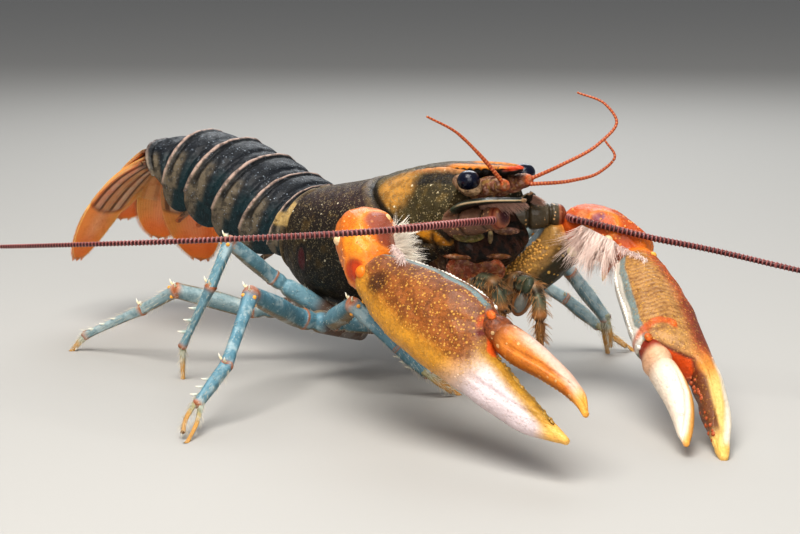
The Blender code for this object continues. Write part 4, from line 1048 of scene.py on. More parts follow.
def make_eye(side, sign):
    reach = EYE_REACH[side]
    outward = (0.8, 0.6 * sign, 0.1)
    rows = [(-9.6, (reach - 1.7) * sign, 31.9, 1.3, 1.2), (-6.9, (reach - 0.5) * sign, 32.5, 1.5, 1.4)]
    stalk = limb(rows, (0, 0, 1), sides=40, rings=20, blunt=(0.4, 0.4))
    tint = Tint(stalk.grid, "c8a07c", 0.5)
    tint.lay("6b4632", 0.5, 0.6 * band(stalk.along, 1.4, 0.3, 0.4)[:, None])
    heap = Heap(stalk.mesh(tint))
    socket = globe((-6.2, (reach - 0.7) * sign, 31.9), (1.7, 1.45, 1.75), outward, (0, 0, 1), 40, 24)
    heap.add(socket.mesh(Tint(socket.grid, "d8b48c", 0.3)))
    heap.piece(f"eye_{side}_stalk", FACE_SKIN, "eye")
    ball = globe((-5.9, reach * sign, 32.9), (1.9, 0.88 * EYE_RADIUS, EYE_RADIUS), (0.8, 0.6 * sign, 0.2),
                 (0, 0, 1), 48, 30)
    shade = Tint(ball.grid, "0c1020", 0.0)
    rim = 1 - step_up(ball.along, 0.85, 1.0)
    shade.lay("d0ab88", 0.0, rim[:, None])
    Heap(ball.mesh(shade)).piece(f"eye_{side}_globe", EYE_GLASS, "eye", f"eye_{side}")


def eye_finish():
    made = Finish("eye_glass", roughness=(0.14, 0.22), gloss=0.35, bump=0.02)
    made.shader.inputs["Coat Roughness"].default_value = 0.25
    made.paint("1c2444", 0.35, False, SPECKS, Spacing=0.00012, Size=0.5, Share=1.0)
    return made.done(0.00001)


EYE_GLASS = eye_finish()
for eye_side, eye_sign in SIDES.items():
    make_eye(eye_side, eye_sign)

# The antennules are short jointed feet with two finely ringed orange-brown whips each, which stand
# between the eyes on the warty face.
ANTENNULE_ROOTS = {"right": (-8.0, -2.4, 31.0), "left": (-8.0, 2.4, 31.0)}
WHIPS = {
    "right": [
        [(-1.2, -3.2, 32.4), (-2.6, -6.5, 36.6), (-4.6, -9.8, 40.4), (-6.6, -13.5, 42.7)],
        [(-1.9, -2.5, 32.4), (-5.1, -4.6, 36.7), (-8.2, -6.6, 39.9)],
    ],
    "left": [
        [(-2.2, 2.6, 32.6), (1.4, 5.8, 34.9), (4.6, 10.3, 38.0), (5.2, 13.2, 41.0), (3.2, 12.8, 43.4),
         (-0.6, 11.0, 44.9)],
        [(-1.8, 2.4, 32.0), (1.6, 7.8, 32.4), (3.4, 11.8, 33.5), (4.6, 13.6, 35.7), (2.8, 13.4, 37.9)],
    ],
}
WHIP_RING = 0.5
WHIP_SIDES = 14
RINGS_PER_JOINT = 6


def ringed(rows, pitch, depth, dark, pale, line=0.0):
    """A whip of short joints: each is a shallow barrel with a raised pale band at its far end, and
    line is how strongly a painted highlight shows as a pale line along the upper side."""
    length = np.linalg.norm(np.diff(np.array(rows, float)[:, :3], axis=0), axis=1).sum()
    rings = int(length / pitch * RINGS_PER_JOINT)
    skin = limb(rows, (0.3, 0.5, 0.8), sides=WHIP_SIDES, rings=rings, power=2.0, blunt=(0.5, 0.8), cap=3)
    phase = (skin.along / pitch) % 1.0
    collar = hump(phase, 0.84, 0.13)
    radius = np.linalg.norm(skin.grid - skin.grid.mean(1, keepdims=True), axis=2).mean(1)
    upper = step_up(skin.normals()[:, :, 2], 0.65, 0.95)
    skin.push((depth * radius * (collar - 0.5))[:, None])
    tint = Tint(skin.grid, dark, 0.1)
    # painted highlight: a pale line along the upward-facing top of the whip
    tint.lay(pale, 0.0, line * upper)
    tint.lay(pale, 0.0, (0.95 * collar)[:, None])
    return skin, tint


FEELER = Finish("feeler", roughness=(0.3, 0.45), gloss=0.3, bump=0.3).done(0.00005)


def make_antennule(side, sign):
    root = ANTENNULE_ROOTS[side]
    end = WHIPS[side][0][0]
    rows = [(*root, 1.7, 1.5), (-4.6, 2.7 * sign, 32.0, 1.45, 1.3), (*end, 0.85, 0.8)]
    foot = limb(rows, (0, 1, 0), sides=48, rings=90)
    share = foot.share()
    swell = 0.22 * np.abs(np.sin(share * 3 * math.pi)) - 0.12
    foot.push(swell)
    tint = Tint(foot.grid, "9c6650", 1.0)
    tint.lay("c8602a", 0.1, hump(share, 0.96, 0.04))
    tint.lay("7a4a38", 0.9, 0.5 * (1 - step_up(share, 0.1, 0.5)))
    Heap(foot.mesh(tint)).piece(f"antennule_{side}_foot", FACE_SKIN, "base", f"antennule_{side}")
    heap = Heap()
    for points in WHIPS[side]:
        thick = np.linspace(0.32, 0.17, len(points))
        rows = [(*point, size, size) for point, size in zip(points, thick)]
        skin, shade = ringed(rows, WHIP_RING, 0.22, "9a4222", "d08048")
        heap.add(skin.mesh(shade))
    heap.piece(f"antennule_{side}_whips", FEELER, "base")


for antennule_side, antennule_sign in SIDES.items():
    make_antennule(antennule_side, antennule_sign)

# Each antenna has a stout foot of chitin, jointed on the face, with a flat dark scale on it that ends
# in a point and a fringe. On the foot's end turns a long stiff whip of hundreds of maroon joints with
# pale bands.
ANTENNA_RADIUS = (0.56, 0.22)
SCALE_SIDES = 64
SCALE_HAIRS = 220
ANTENNA_PITCH = 0.63
ANTENNA_FEET = {
    "right": [(-9.4, -6.2, 26.2, 2.1, 2.0), (-4.6, -6.5, 27.2, 2.0, 1.9), (1.3, -6.5, 28.5, 1.55, 1.5)],
    "left": [(-9.4, 6.2, 26.0, 2.1, 2.0), (-6.8, 9.0, 26.1, 2.0, 1.9), (-4.7, 11.7, 26.1, 1.5, 1.5)],
}
SCALES = {
    "right": [(-9.0, -6.6, 27.4, 1.5, 0.9), (-5.0, -7.4, 29.5, 1.9, 0.65), (0.6, -7.6, 30.9, 1.9, 0.5),
              (6.6, -7.2, 31.6, 0.6, 0.35)],
    "left": [(-9.0, 6.4, 27.0, 1.5, 0.9), (-7.4, 6.4, 28.3, 1.7, 0.7), (-5.8, 5.8, 29.2, 1.5, 0.55),
             (-4.4, 5.0, 30.0, 0.6, 0.35)],
}
ANTENNA_PATHS = {
    "right": [(1.9, -8.3, 28.3), (3.2, -20.0, 29.1), (2.8, -32.0, 29.5), (-6.0, -45.6, 29.0),
              (-27.0, -55.6, 26.6), (-50.0, -58.0, 23.4), (-66.0, -58.0, 21.0)],
    "left": [(-3.1, 12.0, 25.9), (-0.6, 10.8, 26.0), (2.4, 12.0, 25.6), (5.9, 14.0, 24.8),
             (8.6, 17.0, 23.8), (13.3, 23.0, 22.2), (26.4, 30.0, 19.7), (45.0, 40.0, 16.5),
             (64.0, 48.5, 14.0), (84.0, 54.0, 13.0)],
}
WHIP_PARTS = 3
PART_STATIONS = 12


def limb_finish(name, cloud, speck):
    made = Finish(name, roughness=(0.28, 0.46), gloss=0.35, bump=0.45)
    made.paint(cloud, 0.45, True, CLOUDS, Spacing=0.0015, Low=0.47, High=0.63)
    fine = made.paint(speck, 0.8, True, SPECKS, Spacing=0.0007, Size=0.3, Share=0.7)
    made.raise_by(fine, 0.4)
    return made.done()


BASE_SHELL = limb_finish("feeler_base", "4a3a22", "e0b078")


def make_antenna_base(side, sign, fringe, draw):
    foot = limb(ANTENNA_FEET[side], (0, 0, 1), sides=64, rings=120)
    share = foot.share()
    notch = hump(share, 0.40, 0.03) + hump(share, 0.74, 0.03)
    foot.push(0.15 * np.abs(np.sin(share * 3 * math.pi)) - 0.3 * notch)
    tint = Tint(foot.grid, {"right": "7c5a48", "left": "4c4230"}[side], 0.8)
    tint.lay("2f2616", 0.5, 0.8 * np.minimum(notch, 1.0))
    tint.lay("9c5a3c", 0.6, step_up(share, 0.85, 0.89))
    tint.lay("6e2a18", 0.1, hump(share, 0.92, 0.015))
    tint.lay("3a1218", 0.0, step_up(share, 0.95, 1.0))
    Heap(foot.mesh(tint)).piece(f"antenna_{side}_foot", BASE_SHELL, "base", f"antenna_{side}_base")

    scale = limb(SCALES[side], (0, 1, 0), sides=SCALE_SIDES, rings=110, power=2.0)
    share = scale.share()
    c = np.cos(scale.turn)[None]
    s = np.sin(scale.turn)[None]
    rib = hump(c * -sign, -0.45, 0.16) * (s > 0)
    scale.push(0.16 * rib * step_up(share, 0.1, 0.3) - 0.16 * (1 - np.abs(c)) * (s > 0))
    tint = Tint(scale.grid, "2c3a2a", 0.3)
    tint.lay("8a6450", 0.7, 1 - step_up(share, 0.16, 0.24))
    tint.lay("b9a07e", 0.2, 0.8 * band(s, 0.15, 0.18, 0.15) * step_up(share, 0.25, 0.4))
    tint.lay("0b0d0a", 0.0, step_up(np.abs(s - 0.15), 0.45, 0.6) * step_up(share, 0.2, 0.3))
    tint.lay("8a6a4a", 0.0, step_up(share, 0.975, 0.995))
    Heap(scale.mesh(tint)).piece(f"antenna_{side}_scale", BASE_SHELL, "base")
    half_turn = SCALE_SIDES // 2
    for k in range(SCALE_HAIRS):
        f = k / SCALE_HAIRS
        i = int(len(scale.along) * (0.45 + 0.48 * f))
        j = ({"right": half_turn, "left": 0}[side] + draw.choice((-4, -2, 0, 2, 4))) % SCALE_SIDES
        point = scale.grid[i, j] * 0.6 + scale.grid[i, (j + half_turn) % SCALE_SIDES] * 0.4
        heading = {"right": (0.62, 0.62, -0.42 - 0.35 * (1 - f)), "left": (0.62, 0.75, -0.3)}[side]
        heading = np.array(heading) + scatter(draw, 0.12)
        size = draw.uniform(1.9, 2.9) * (0.6 + 0.4 * math.sin(math.pi * f))
        shade = np.array(linear("bd9480")) * draw.uniform(0.6, 1.15)
        hair = bristle(point, heading, size, 0.05, (0, 0, -0.15), shade)
        fringe.add(hair, (i / 130, j / SCALE_SIDES))


def make_antennae():
    draw = random.Random(21)
    fringe = Heap()
    for side, sign in SIDES.items():
        make_antenna_base(side, sign, fringe, draw)
        route = spline([(*p, 0, 0) for p in ANTENNA_PATHS[side]], WHIP_PARTS * PART_STATIONS + 1)[:, :3]
        radii = np.linspace(ANTENNA_RADIUS[0], ANTENNA_RADIUS[1], len(route))
        for part in range(WHIP_PARTS):
            first = part * PART_STATIONS
            rows = [(*route[k], radii[k], radii[k]) for k in range(first, first + PART_STATIONS + 1)]
            # the pale line along the top of each antenna whip is a painted highlight
            skin, tint = ringed(rows, ANTENNA_PITCH, 0.30, "34090d", "b4706a", line=0.35)
            whip = f"antenna_{side}_whip_{part + 1}"
            Heap(skin.mesh(tint)).piece(f"feeler_{side}_{part + 1}", FEELER, "feeler", whip)
    fringe.piece("scale_fringe", BRISTLES, "base", coat=True)


make_antennae()

# The third jaw legs are jointed on the thorax and fold under the mouth. Their shells are grey-green
# with dark stripes, and brown hair grows on them as a beard.
JAW_SIDES = 56
BEARD_HAIRS = 520
JAW_PLATE_AXIS = (-0.25, -0.30, -0.92)
JAW_LEGS = {
    "right": [(-19.0, -3.6, 14.6, 1.9, 1.6), (-12.0, -3.6, 15.4, 2.1, 1.5), (-6.5, -3.4, 17.8, 1.9, 1.5),
              (-3.0, -3.2, 17.4, 1.4, 1.3), (-2.0, -3.0, 13.6, 1.1, 1.0), (-2.6, -2.8, 10.6, 0.7, 0.6)],
    "left": [(-18.5, 3.6, 14.4, 1.9, 1.6), (-10.5, 3.2, 14.6, 2.1, 1.5), (-3.0, 2.2, 17.2, 1.9, 1.6),
             (0.6, 1.6, 16.4, 1.4, 1.3), (2.4, 0.6, 12.4, 1.1, 1.0), (2.4, 0.8, 8.6, 0.7, 0.6)],
}
JAW_JOINTS = (0.36, 0.58, 0.72, 0.86)
JAW_PLATES = {
    # centre, radii, colour and the colour of its fine lines
    "right": [],
    "left": [((-2.6, 1.8, 14.4), (2.3, 1.4, 1.0), "9a6a42", "7c4e2c"),
             ((-1.8, 0.9, 14.6), (1.7, 0.9, 0.8), "8f9088", "100e0c"),
             ((-0.1, 0.6, 17.4), (1.3, 0.8, 0.9), "4a5240", "2c3226")],
}


def make_jaw_legs():
    draw = random.Random(31)
    beard = Heap()
    for side in SIDES:
        skin = limb(JAW_LEGS[side], (0, 1, 0), sides=JAW_SIDES, rings=200)
        share = skin.share()
        notch = sum(hump(share, joint, 0.014) for joint in JAW_JOINTS)
        collar = sum(hump(share - joint, -0.03, 0.02) for joint in JAW_JOINTS)
        skin.push(0.15 * collar - 0.32 * notch - 0.2)
        tint = Tint(skin.grid, "6a6e58", 0.6)
        stripe = 0.5 + 0.5 * np.sin(skin.turn * 5)
        tint.lay("22241c", 0.4, 0.75 * stripe * band(share, 0.65, 0.1, 0.05))
        tint.lay("8a5330", 0.5, 1 - step_up(share, 0.3, 0.42))
        tint.lay("7c5226", 0.4, step_up(share, 0.76, 0.84))
        tint.lay("b57a48", 0.1, 0.6 * np.minimum(collar, 1.0))
        tint.lay("2b1a10", 0.0, 0.8 * np.minimum(notch, 1.0))
        heap = Heap(skin.mesh(tint))
        for centre, radii, colour, dark in JAW_PLATES[side]:
            plate = globe(centre, radii, JAW_PLATE_AXIS, MOUTH_ACROSS, 40, 26)
            shade = Tint(plate.grid, colour, 0.4)
            lines = 0.35 + 0.35 * np.sin(plate.turn * 20)
            shade.lay(dark, 0.1, lines[None])
            heap.add(plate.mesh(shade))
        heap.piece(f"jaw_{side}", JAW_SHELL, "mouth", f"jaw_leg_{side}")
        normals = skin.normals()
        for _ in range(BEARD_HAIRS):
            i = int(draw.uniform(0.30, 0.97) * len(share))
            j = int(draw.uniform(0, 1) * JAW_SIDES)
            heading = normals[i, j] + np.array((0.2, 0.0, -0.7))
            size = draw.uniform(0.7, 1.5)
            shade = np.array(linear("a9763c")) * draw.uniform(0.6, 1.4)
            hair = bristle(skin.grid[i, j], heading, size, 0.045, (0, 0, -0.3), shade)
            beard.add(hair, (0.02 + 0.9 * share[i, 0], 0.02 + 0.9 * j / JAW_SIDES))
    beard.piece("jaw_beard", BRISTLES, "mouth", coat=True)


JAW_SHELL = limb_finish("jaw_shell", "3a2c1c", "c9b48c")
make_jaw_legs()

# The claw arms are stout shells hinged on the thorax, gold-olive with a dark mottle. Rows of gold
# granules stand along the crest of each.
ARM_GRANULES = 30
GRANULE_ROWS = (-6, -3, 0, 3, 6)
ARMS = {
    "right": [(-23.5, -6.2, 12.0, 2.2, 2.2), (-20.0, -9.6, 16.0, 2.9, 2.9), (-15.5, -14.4, 21.0, 3.5, 3.3),
              (-12.5, -18.2, 24.0, 3.5, 3.3)],
    "left": [(-18.5, 5.6, 12.0, 2.2, 2.2), (-13.5, 6.4, 12.6, 2.9, 2.9), (-8.5, 9.6, 17.2, 3.6, 3.4),
             (-4.8, 13.4, 22.4, 3.7, 3.5)],
}
ARM_CREST = {"right": (0.0, -0.3, 0.95), "left": (0.38, -0.86, 0.35)}


def claw_finish(name, cloud, speck, dense, spacing, size, gloss):
    made = Finish(name, roughness=(0.28, 0.48), gloss=gloss, bump=0.4)
    made.paint(cloud, 0.50, True, CLOUDS, Spacing=0.0017, Low=0.46, High=0.60)
    made.paint(cloud, 0.50, True, CLOUDS, Spacing=0.0006, Low=0.48, High=0.60)
    fine = made.paint(speck, 0.75, True, SPECKS, Spacing=spacing, Size=size, Share=dense)
    made.raise_by(fine, 0.6)
    return made.done(0.00015)


ARM_SHELL = claw_finish("arm_shell", "3a2a14", "e3b45e", 0.7, 0.0009, 0.32, 0.25)


def wart(skin, i, j, radius, height, colour, sides=8):
    """A low round knob on a skin at ring i and point j."""
    i = min(i, len(skin.grid) - 2)
    count = skin.grid.shape[1]
    point = skin.grid[i, j % count]
    along = unit(skin.grid[i + 1, j % count] - skin.grid[i - 1, j % count])
    normal = unit(np.cross(along, skin.grid[i, (j + 1) % count] - skin.grid[i, (j - 1) % count]))
    if normal @ (point - skin.grid[i].mean(0)) < 0:
        normal = -normal
    return knob(point, normal, radius, height, colour, sides)


KNOB_SUNK = 0.35


def knob(point, normal, radius, height, colour, sides=8, levels=(0.0, 0.5, 0.85)):
    """A dome that stands on a point, its foot a little under the surface."""
    normal = unit(normal)
    ring, _, _ = circle_round(normal, sides)
    lean = np.array(levels) * math.pi / 2
    foot = point - normal * height * KNOB_SUNK
    full = 1 + KNOB_SUNK
    dome = (foot + normal * (full * height * np.sin(lean))[:, None])[:, None]
    dome = dome + ring[None] * (radius * np.cos(lean))[:, None, None]
    return pointed(dome, foot + normal * full * height, colour)


def make_arm(side):
    draw = random.Random(41)
    skin = limb(ARMS[side], (0, 0, 1), sides=110, rings=150, power=2.4)
    share = skin.share()
    normal = skin.normals()
    crest = normal @ unit(ARM_CREST[side])
    lift = 0.06 * np.sin(share * 40 + 3 * np.sin(skin.turn * 2)) * np.sin(skin.turn * 9)
    lift += 0.30 * hump(share, 0.86, 0.05)
    lift -= 0.30 * hump(share, 0.93, 0.025)
    lift += 0.35 * step_up(crest, 0.80, 0.98)
    skin.push(lift)
    tint = Tint(skin.grid, "79623a", 0.9)
    tint.lay("a9bcc0", 0.25, step_up(normal @ unit((-0.5, -0.6, 0.6)), 0.45, 0.75))
    tint.lay("2e2a16", 0.8, step_up(normal @ unit((0.75, -0.2, -0.6)), 0.35, 0.65))
    tint.lay("b0864a", 0.6, step_up(crest, 0.78, 0.92))
    tint.lay("e2882f", 0.2, 0.9 * step_up(share, 0.90, 0.95))
    tint.lay("5b3a2a", 0.3, 1 - step_up(share, 0.05, 0.3))
    heap = Heap(skin.mesh(tint))
    ridge = np.argmax(crest, axis=1)
    for offset in GRANULE_ROWS:
        for k in range(ARM_GRANULES):
            i = int(len(share) * (0.24 + 0.60 * (k + draw.uniform(-0.5, 0.5)) / ARM_GRANULES))
            j = int(ridge[i]) + offset + draw.choice((-1, 0, 1))
            size = draw.uniform(0.14, 0.32)
            heap.add(wart(skin, i, j, size, size * 0.8, linear("e0aa58")))
    heap.piece(f"arm_{side}", ARM_SHELL, "arm", f"claw_{side}_arm")


for arm_side in SIDES:
    make_arm(arm_side)

# The wrists are short orange shells between arm and palm, hinged on both, with darker patches,
# cream knobs and blunt spines. A thick tuft of pale bristles grows on the inner side of each.
WRIST_SIDES = 120
WRIST_WARTS = 90
WRISTS = {
    "right": [(-12.0, -19.4, 24.9, 3.6, 3.7), (-10.0, -22.1, 25.9, 4.3, 4.4), (-7.3, -24.1, 24.3, 4.1, 4.0),
              (-5.6, -25.0, 21.8, 3.5, 3.4)],
    "left": [(-4.4, 13.9, 23.3, 3.4, 3.3), (-1.4, 14.9, 23.9, 3.9, 3.8), (2.4, 16.2, 22.7, 3.8, 3.6),
             (5.8, 17.6, 21.0, 3.0, 2.9)],
}
TUFTS = {
    # roots run from the first point to the second; the bristles lie along the third and fan out
    "right": ((-6.4, -20.6, 26.5), (-3.4, -21.1, 23.3), (0.62, 0.62, 0.02), 2.9, 1.3),
    "left": ((0.2, 11.4, 24.6), (5.4, 13.0, 22.6), (-0.14, -0.50, -0.85), 4.6, 0.5),
}
TUFT_COLOURS = {"right": "fff4e6", "left": "f6dccf"}
TUFT_HAIRS = 1500
TUFT_LOCKS = 46
SMALL_HAIR_COUNT = 300
SMALL_HAIRS = {
    # a thin row of short hairs, from the first point to the second
    "right": ((-3.4, -22.6, 25.6), (1.6, -25.2, 24.7)),
    "left": ((4.6, 13.4, 22.8), (11.2, 13.6, 21.2)),
}
WRIST_KNOBS = {
    # centre, radius and colour
    "right": [((-10.1, -26.9, 26.0), 0.85, "e9c79a"), ((-7.3, -20.6, 28.7), 0.7, "e8bf86"),
              ((-4.2, -27.7, 22.4), 1.0, "f0801c")],
    "left": [((4.0, 13.3, 23.3), 0.75, "e4dcae"), ((9.6, 16.8, 21.2), 0.6, "f0b04c"),
             ((-0.2, 9.9, 21.3), 0.8, "dccfa6")],
}
WRIST_SPINES = {
    "right": [((-9.0, -20.5, 23.6), (-7.0, -17.6, 22.6))],
    "left": [((3.2, 14.4, 19.8), (3.3, 12.9, 16.9)), ((5.2, 15.8, 19.2), (5.8, 14.4, 16.8))],
}
WRIST_MARKS = {
    # centre, radius and colour of the darker and brighter parts of each wrist; the last left one is a
    # painted highlight on the top of the left wrist
    "right": [((-6.1, -22.6, 28.4), 3.0, "8a4a3e"), ((-4.3, -22.9, 26.2), 2.6, "74382c"),
              ((-5.4, -28.2, 22.4), 2.3, "b83414"), ((-6.0, -27.2, 26.4), 2.6, "f09a2a")],
    "left": [((1.6, 13.4, 26.6), 1.3, "7c4a66"), ((4.0, 13.2, 18.2), 2.6, "ec6c1a"),
             # the pale peach patch at the end of this row is a painted highlight
             ((4.2, 13.6, 20.9), 1.3, "94401c"), ((-0.5, 12.6, 26.2), 1.3, "dc8a58")],
}
WRIST_RIMS = {
    # centre and radius of the raised rims round the darker patches
    "right": [((-5.4, -22.6, 27.6), 3.7), ((-5.4, -28.2, 22.4), 2.1)],
    "left": [((2.4, 13.6, 25.0), 2.4), ((4.2, 13.6, 20.4), 1.9)],
}
WRIST_SHELL = claw_finish("wrist_shell", "a0441a", "eaa468", 0.4, 0.0010, 0.28, 0.3)
SPINE_SIDES = 14
SPINE_RINGS = 12
SPINE_BOW = 0.12
SPINE_TIP = 0.03


def spine(start, end, radius, colour, tip_colour):
    """A blunt cone that bows a little on its way to the tip."""
    start = np.array(start, float)
    end = np.array(end, float)
    along = unit(end - start)
    ring, up, turn = circle_round(along, SPINE_SIDES)
    f = np.linspace(0, 1, SPINE_RINGS)
    path = start + (end - start) * f[:, None] + up * (SPINE_BOW * np.sin(math.pi * f))[:, None]
    size = radius * (1 - f ** 1.4) ** 0.8 + SPINE_TIP
    grid = path[:, None] + ring[None] * size[:, None, None]
    skin = Skin(grid, f, turn, [start - along * radius * 0.3, end])
    tint = Tint(grid, colour)
    tint.lay(tip_colour, 0.0, step_up(f, 0.4, 0.9)[:, None])
    return skin.mesh(tint)


def make_wrist(side):
    skin = limb(WRISTS[side], (0, 0, 1), sides=WRIST_SIDES, rings=130)
    draw = random.Random(51)
    share = skin.share()
    normal = skin.normals()
    lift = 0.10 * np.sin(share * 23 + 2 * np.sin(skin.turn * 3)) * np.sin(skin.turn * 7)
    lift -= 0.35 * hump(share, 0.16, 0.03)
    rims = []
    for centre, radius in WRIST_RIMS[side]:
        away = np.linalg.norm(skin.grid - np.array(centre), axis=2)
        rims.append(hump(away, radius, 0.45))
        lift = lift + 0.12 * rims[-1] - 0.08 * (1 - step_up(away, 0.5 * radius, 0.85 * radius))
    skin.push(lift)
    tint = Tint(skin.grid, {"right": "e07a1e", "left": "c85a20"}[side], 0.45)
    tint.lay("c24a1a", 0.5, 0.7 * step_up(-normal[:, :, 2], 0.1, 0.7))
    tint.lay("f0912e", 0.2, 0.5 * step_up(share, 0.80, 0.95))
    # the marks include a painted highlight on the top of the left wrist
    for centre, radius, colour in WRIST_MARKS[side]:
        tint.lay(colour, 0.5, 0.9 * blob(skin.grid, centre, radius, 0.35))
    tint.lay("a83a1a", 0.3, 0.7 * hump(share, 0.14, 0.05))
    for rim in rims:
        tint.lay("f09034", 0.1, 0.7 * rim)
    heap = Heap(skin.mesh(tint))
    for centre, radius, colour in WRIST_KNOBS[side]:
        ball = globe(centre, (radius,) * 3, (1, 0, 0), (0, 1, 0), 20, 12)
        heap.add(ball.mesh(Tint(ball.grid, colour)))
    for start, end in WRIST_SPINES[side]:
        heap.add(spine(start, end, 0.8, "e0641f", "f2cf9a"))
    for _ in range(WRIST_WARTS):
        i = int(draw.uniform(0.12, 0.9) * len(share))
        j = int(draw.uniform(0, 1) * WRIST_SIDES)
        if normal[i, j, 2] < -0.3:
            continue
        size = draw.uniform(0.10, 0.22)
        heap.add(wart(skin, i, j, size, size * 0.6, linear("f3a05a")))
    heap.piece(f"wrist_{side}", WRIST_SHELL, "wrist", f"claw_{side}_wrist")

    first, last, lie, reach, fan = TUFTS[side]
    first = np.array(first)
    last = np.array(last)
    lie = unit(lie)
    spread = unit(last - first)
    lift_axis = np.cross(lie, spread)
    locks = [scatter(draw, 0.22) for _ in range(TUFT_LOCKS)]
    tuft = Heap()
    for k in range(TUFT_HAIRS):
        lock = k % TUFT_LOCKS
        f = (lock + 0.5 + draw.gauss(0, 0.45)) / TUFT_LOCKS
        off = draw.uniform(-0.8, 0.8)
        root = first + (last - first) * f + lift_axis * off - lie * 0.5
        lean = spread * (f - 0.5) * fan + lift_axis * off * 0.45 + locks[lock]
        lean = lean + scatter(draw, 0.10)
        shade = np.array(linear(TUFT_COLOURS[side])) * draw.uniform(0.68, 1.15)
        length = reach * draw.uniform(0.55, 1.15)
        bow = locks[(lock + 7) % TUFT_LOCKS] * 2.2
        hair = bristle(root, lie + lean, length, 0.045, bow, shade.clip(0, 1), 4)
        tuft.add(hair, (0.05 + 0.9 * min(max(f, 0.0), 1.0), 0.5 + 0.5 * off))
    first, last = [np.array(p) for p in SMALL_HAIRS[side]]
    for _ in range(SMALL_HAIR_COUNT):
        f = draw.random()
        root = first + (last - first) * f + scatter(draw, 0.25)
        heading = np.array((0.35, -0.55, -0.35)) + scatter(draw, 0.6)
        shade = np.array(linear("f6dcd2")) * draw.uniform(0.7, 1.15)
        hair = bristle(root, heading, draw.uniform(0.6, 1.5), 0.05, (0, 0, -0.2), shade.clip(0, 1))
        tuft.add(hair, (0.05 + 0.9 * f, 0.05))
    tuft.piece(f"wrist_{side}_tuft", BRISTLES, "wrist", coat=True)


for wrist_side in SIDES:
    make_wrist(wrist_side)

# Each claw is a broad palm that runs out into the fixed finger, with a moving finger hinged on its
# inner edge. The hard shell is leopard-spotted, with gold granules, and white beads along the inner
# edge; the fingers pale to cream, with blunt teeth along the cutting edges.
CHELA_SCALE = {"right": 1.0, "left": 45.0 / 43.5}
CHELA_GIRTH = {"right": 1.0, "left": 0.9}
CHELA_POWER = 2.2
CHELA_FRAMES = {
    # root, tip, and the direction from the fixed finger towards the moving one
    "right": ((-6.5, -25.0, 22.5), (34.0, -25.0, 6.0), (0.310, 0.565, 0.755)),
    "left": ((5.3, 17.8, 20.7), (38.0, -2.0, 1.0), (-0.463, -0.878, 0.123)),
}
PALM_ROWS = {
    # along, lower edge, upper edge, half thickness
    "right": [
        (0.0, -2.6, 2.4, 2.6),
        (2.5, -3.6, 3.4, 3.2),
        (6.5, -4.8, 4.8, 3.8),
        (12.0, -5.5, 6.3, 4.2),
        (18.0, -5.4, 7.1, 4.0),
        (21.6, -5.2, 6.8, 3.6),
        (24.0, -5.0, 4.4, 3.2),
        (26.0, -4.8, 2.3, 2.9),
        (30.0, -4.6, 1.4, 2.5),
        (36.0, -3.9, 0.5, 1.9),
        (40.2, -2.6, -0.1, 1.3),
        (43.0, -1.3, -0.4, 0.6),
    ],
    "left": [
        (0.0, -2.3, 2.5, 2.6),
        (2.5, -2.9, 3.8, 3.2),
        (6.5, -3.8, 5.2, 3.8),
        (12.0, -4.9, 5.6, 4.2),
        (18.0, -5.3, 5.9, 4.0),
        (21.6, -5.3, 5.7, 3.5),
        (23.6, -5.3, 2.9, 3.2),
        (25.6, -5.3, -0.2, 2.9),
        (29.5, -5.3, -0.9, 2.5),
        (34.0, -4.8, -0.5, 2.0),
        (38.5, -3.4, -0.3, 1.4),
        (43.0, -1.6, -0.3, 0.6),
    ],
}
FINGER_ROWS = {
    "right": [
        (22.0, 3.2, 6.2, 2.2),
        (25.5, 2.4, 6.6, 2.5),
        (29.0, 2.3, 6.8, 2.3),
        (34.0, 3.1, 6.6, 1.9),
        (38.5, 3.5, 6.0, 1.5),
        (41.4, 3.3, 5.0, 0.9),
        (42.8, 2.9, 3.8, 0.5),
    ],
    "left": [
        (21.4, 2.6, 5.6, 2.2),
        (25.0, 1.6, 5.5, 2.5),
        (28.5, 0.7, 5.1, 2.3),
        (32.0, 0.5, 4.7, 1.9),
        (35.5, 1.3, 4.6, 1.5),
        (38.8, 2.6, 4.8, 0.9),
        (40.6, 3.6, 4.6, 0.5),
    ],
}
PALM_RINGS = 250
PALM_SIDES = 150
FINGER_RINGS = 200
FINGER_SIDES = 110
PALM_GRANULES = 380
PALM_BEADS = 30
BEAD_REACH = (2.4, 21.4)
PALM_TEETH = 26
PALM_TOOTH_START = 27.0
PALM_TOOTH_STEP = 0.52
LARGE_TEETH = (4, 5, 9)
FINGER_TEETH = 18
FINGER_TOOTH_START = 27.5
FINGER_TOOTH_STEP = 0.72
TOOTH_LEVELS = (0.0, 0.3, 0.6, 0.85)


def chela_axes(side):
    """The root of a claw and its axes along, across towards the moving finger, and to its back."""
    root, tip, toward = CHELA_FRAMES[side]
    along = unit(np.array(tip) - np.array(root))
    across = unit(np.array(toward) - np.dot(toward, along) * along)
    back = np.cross(along, across) * -SIDES[side]
    return np.array(root), along, across, back


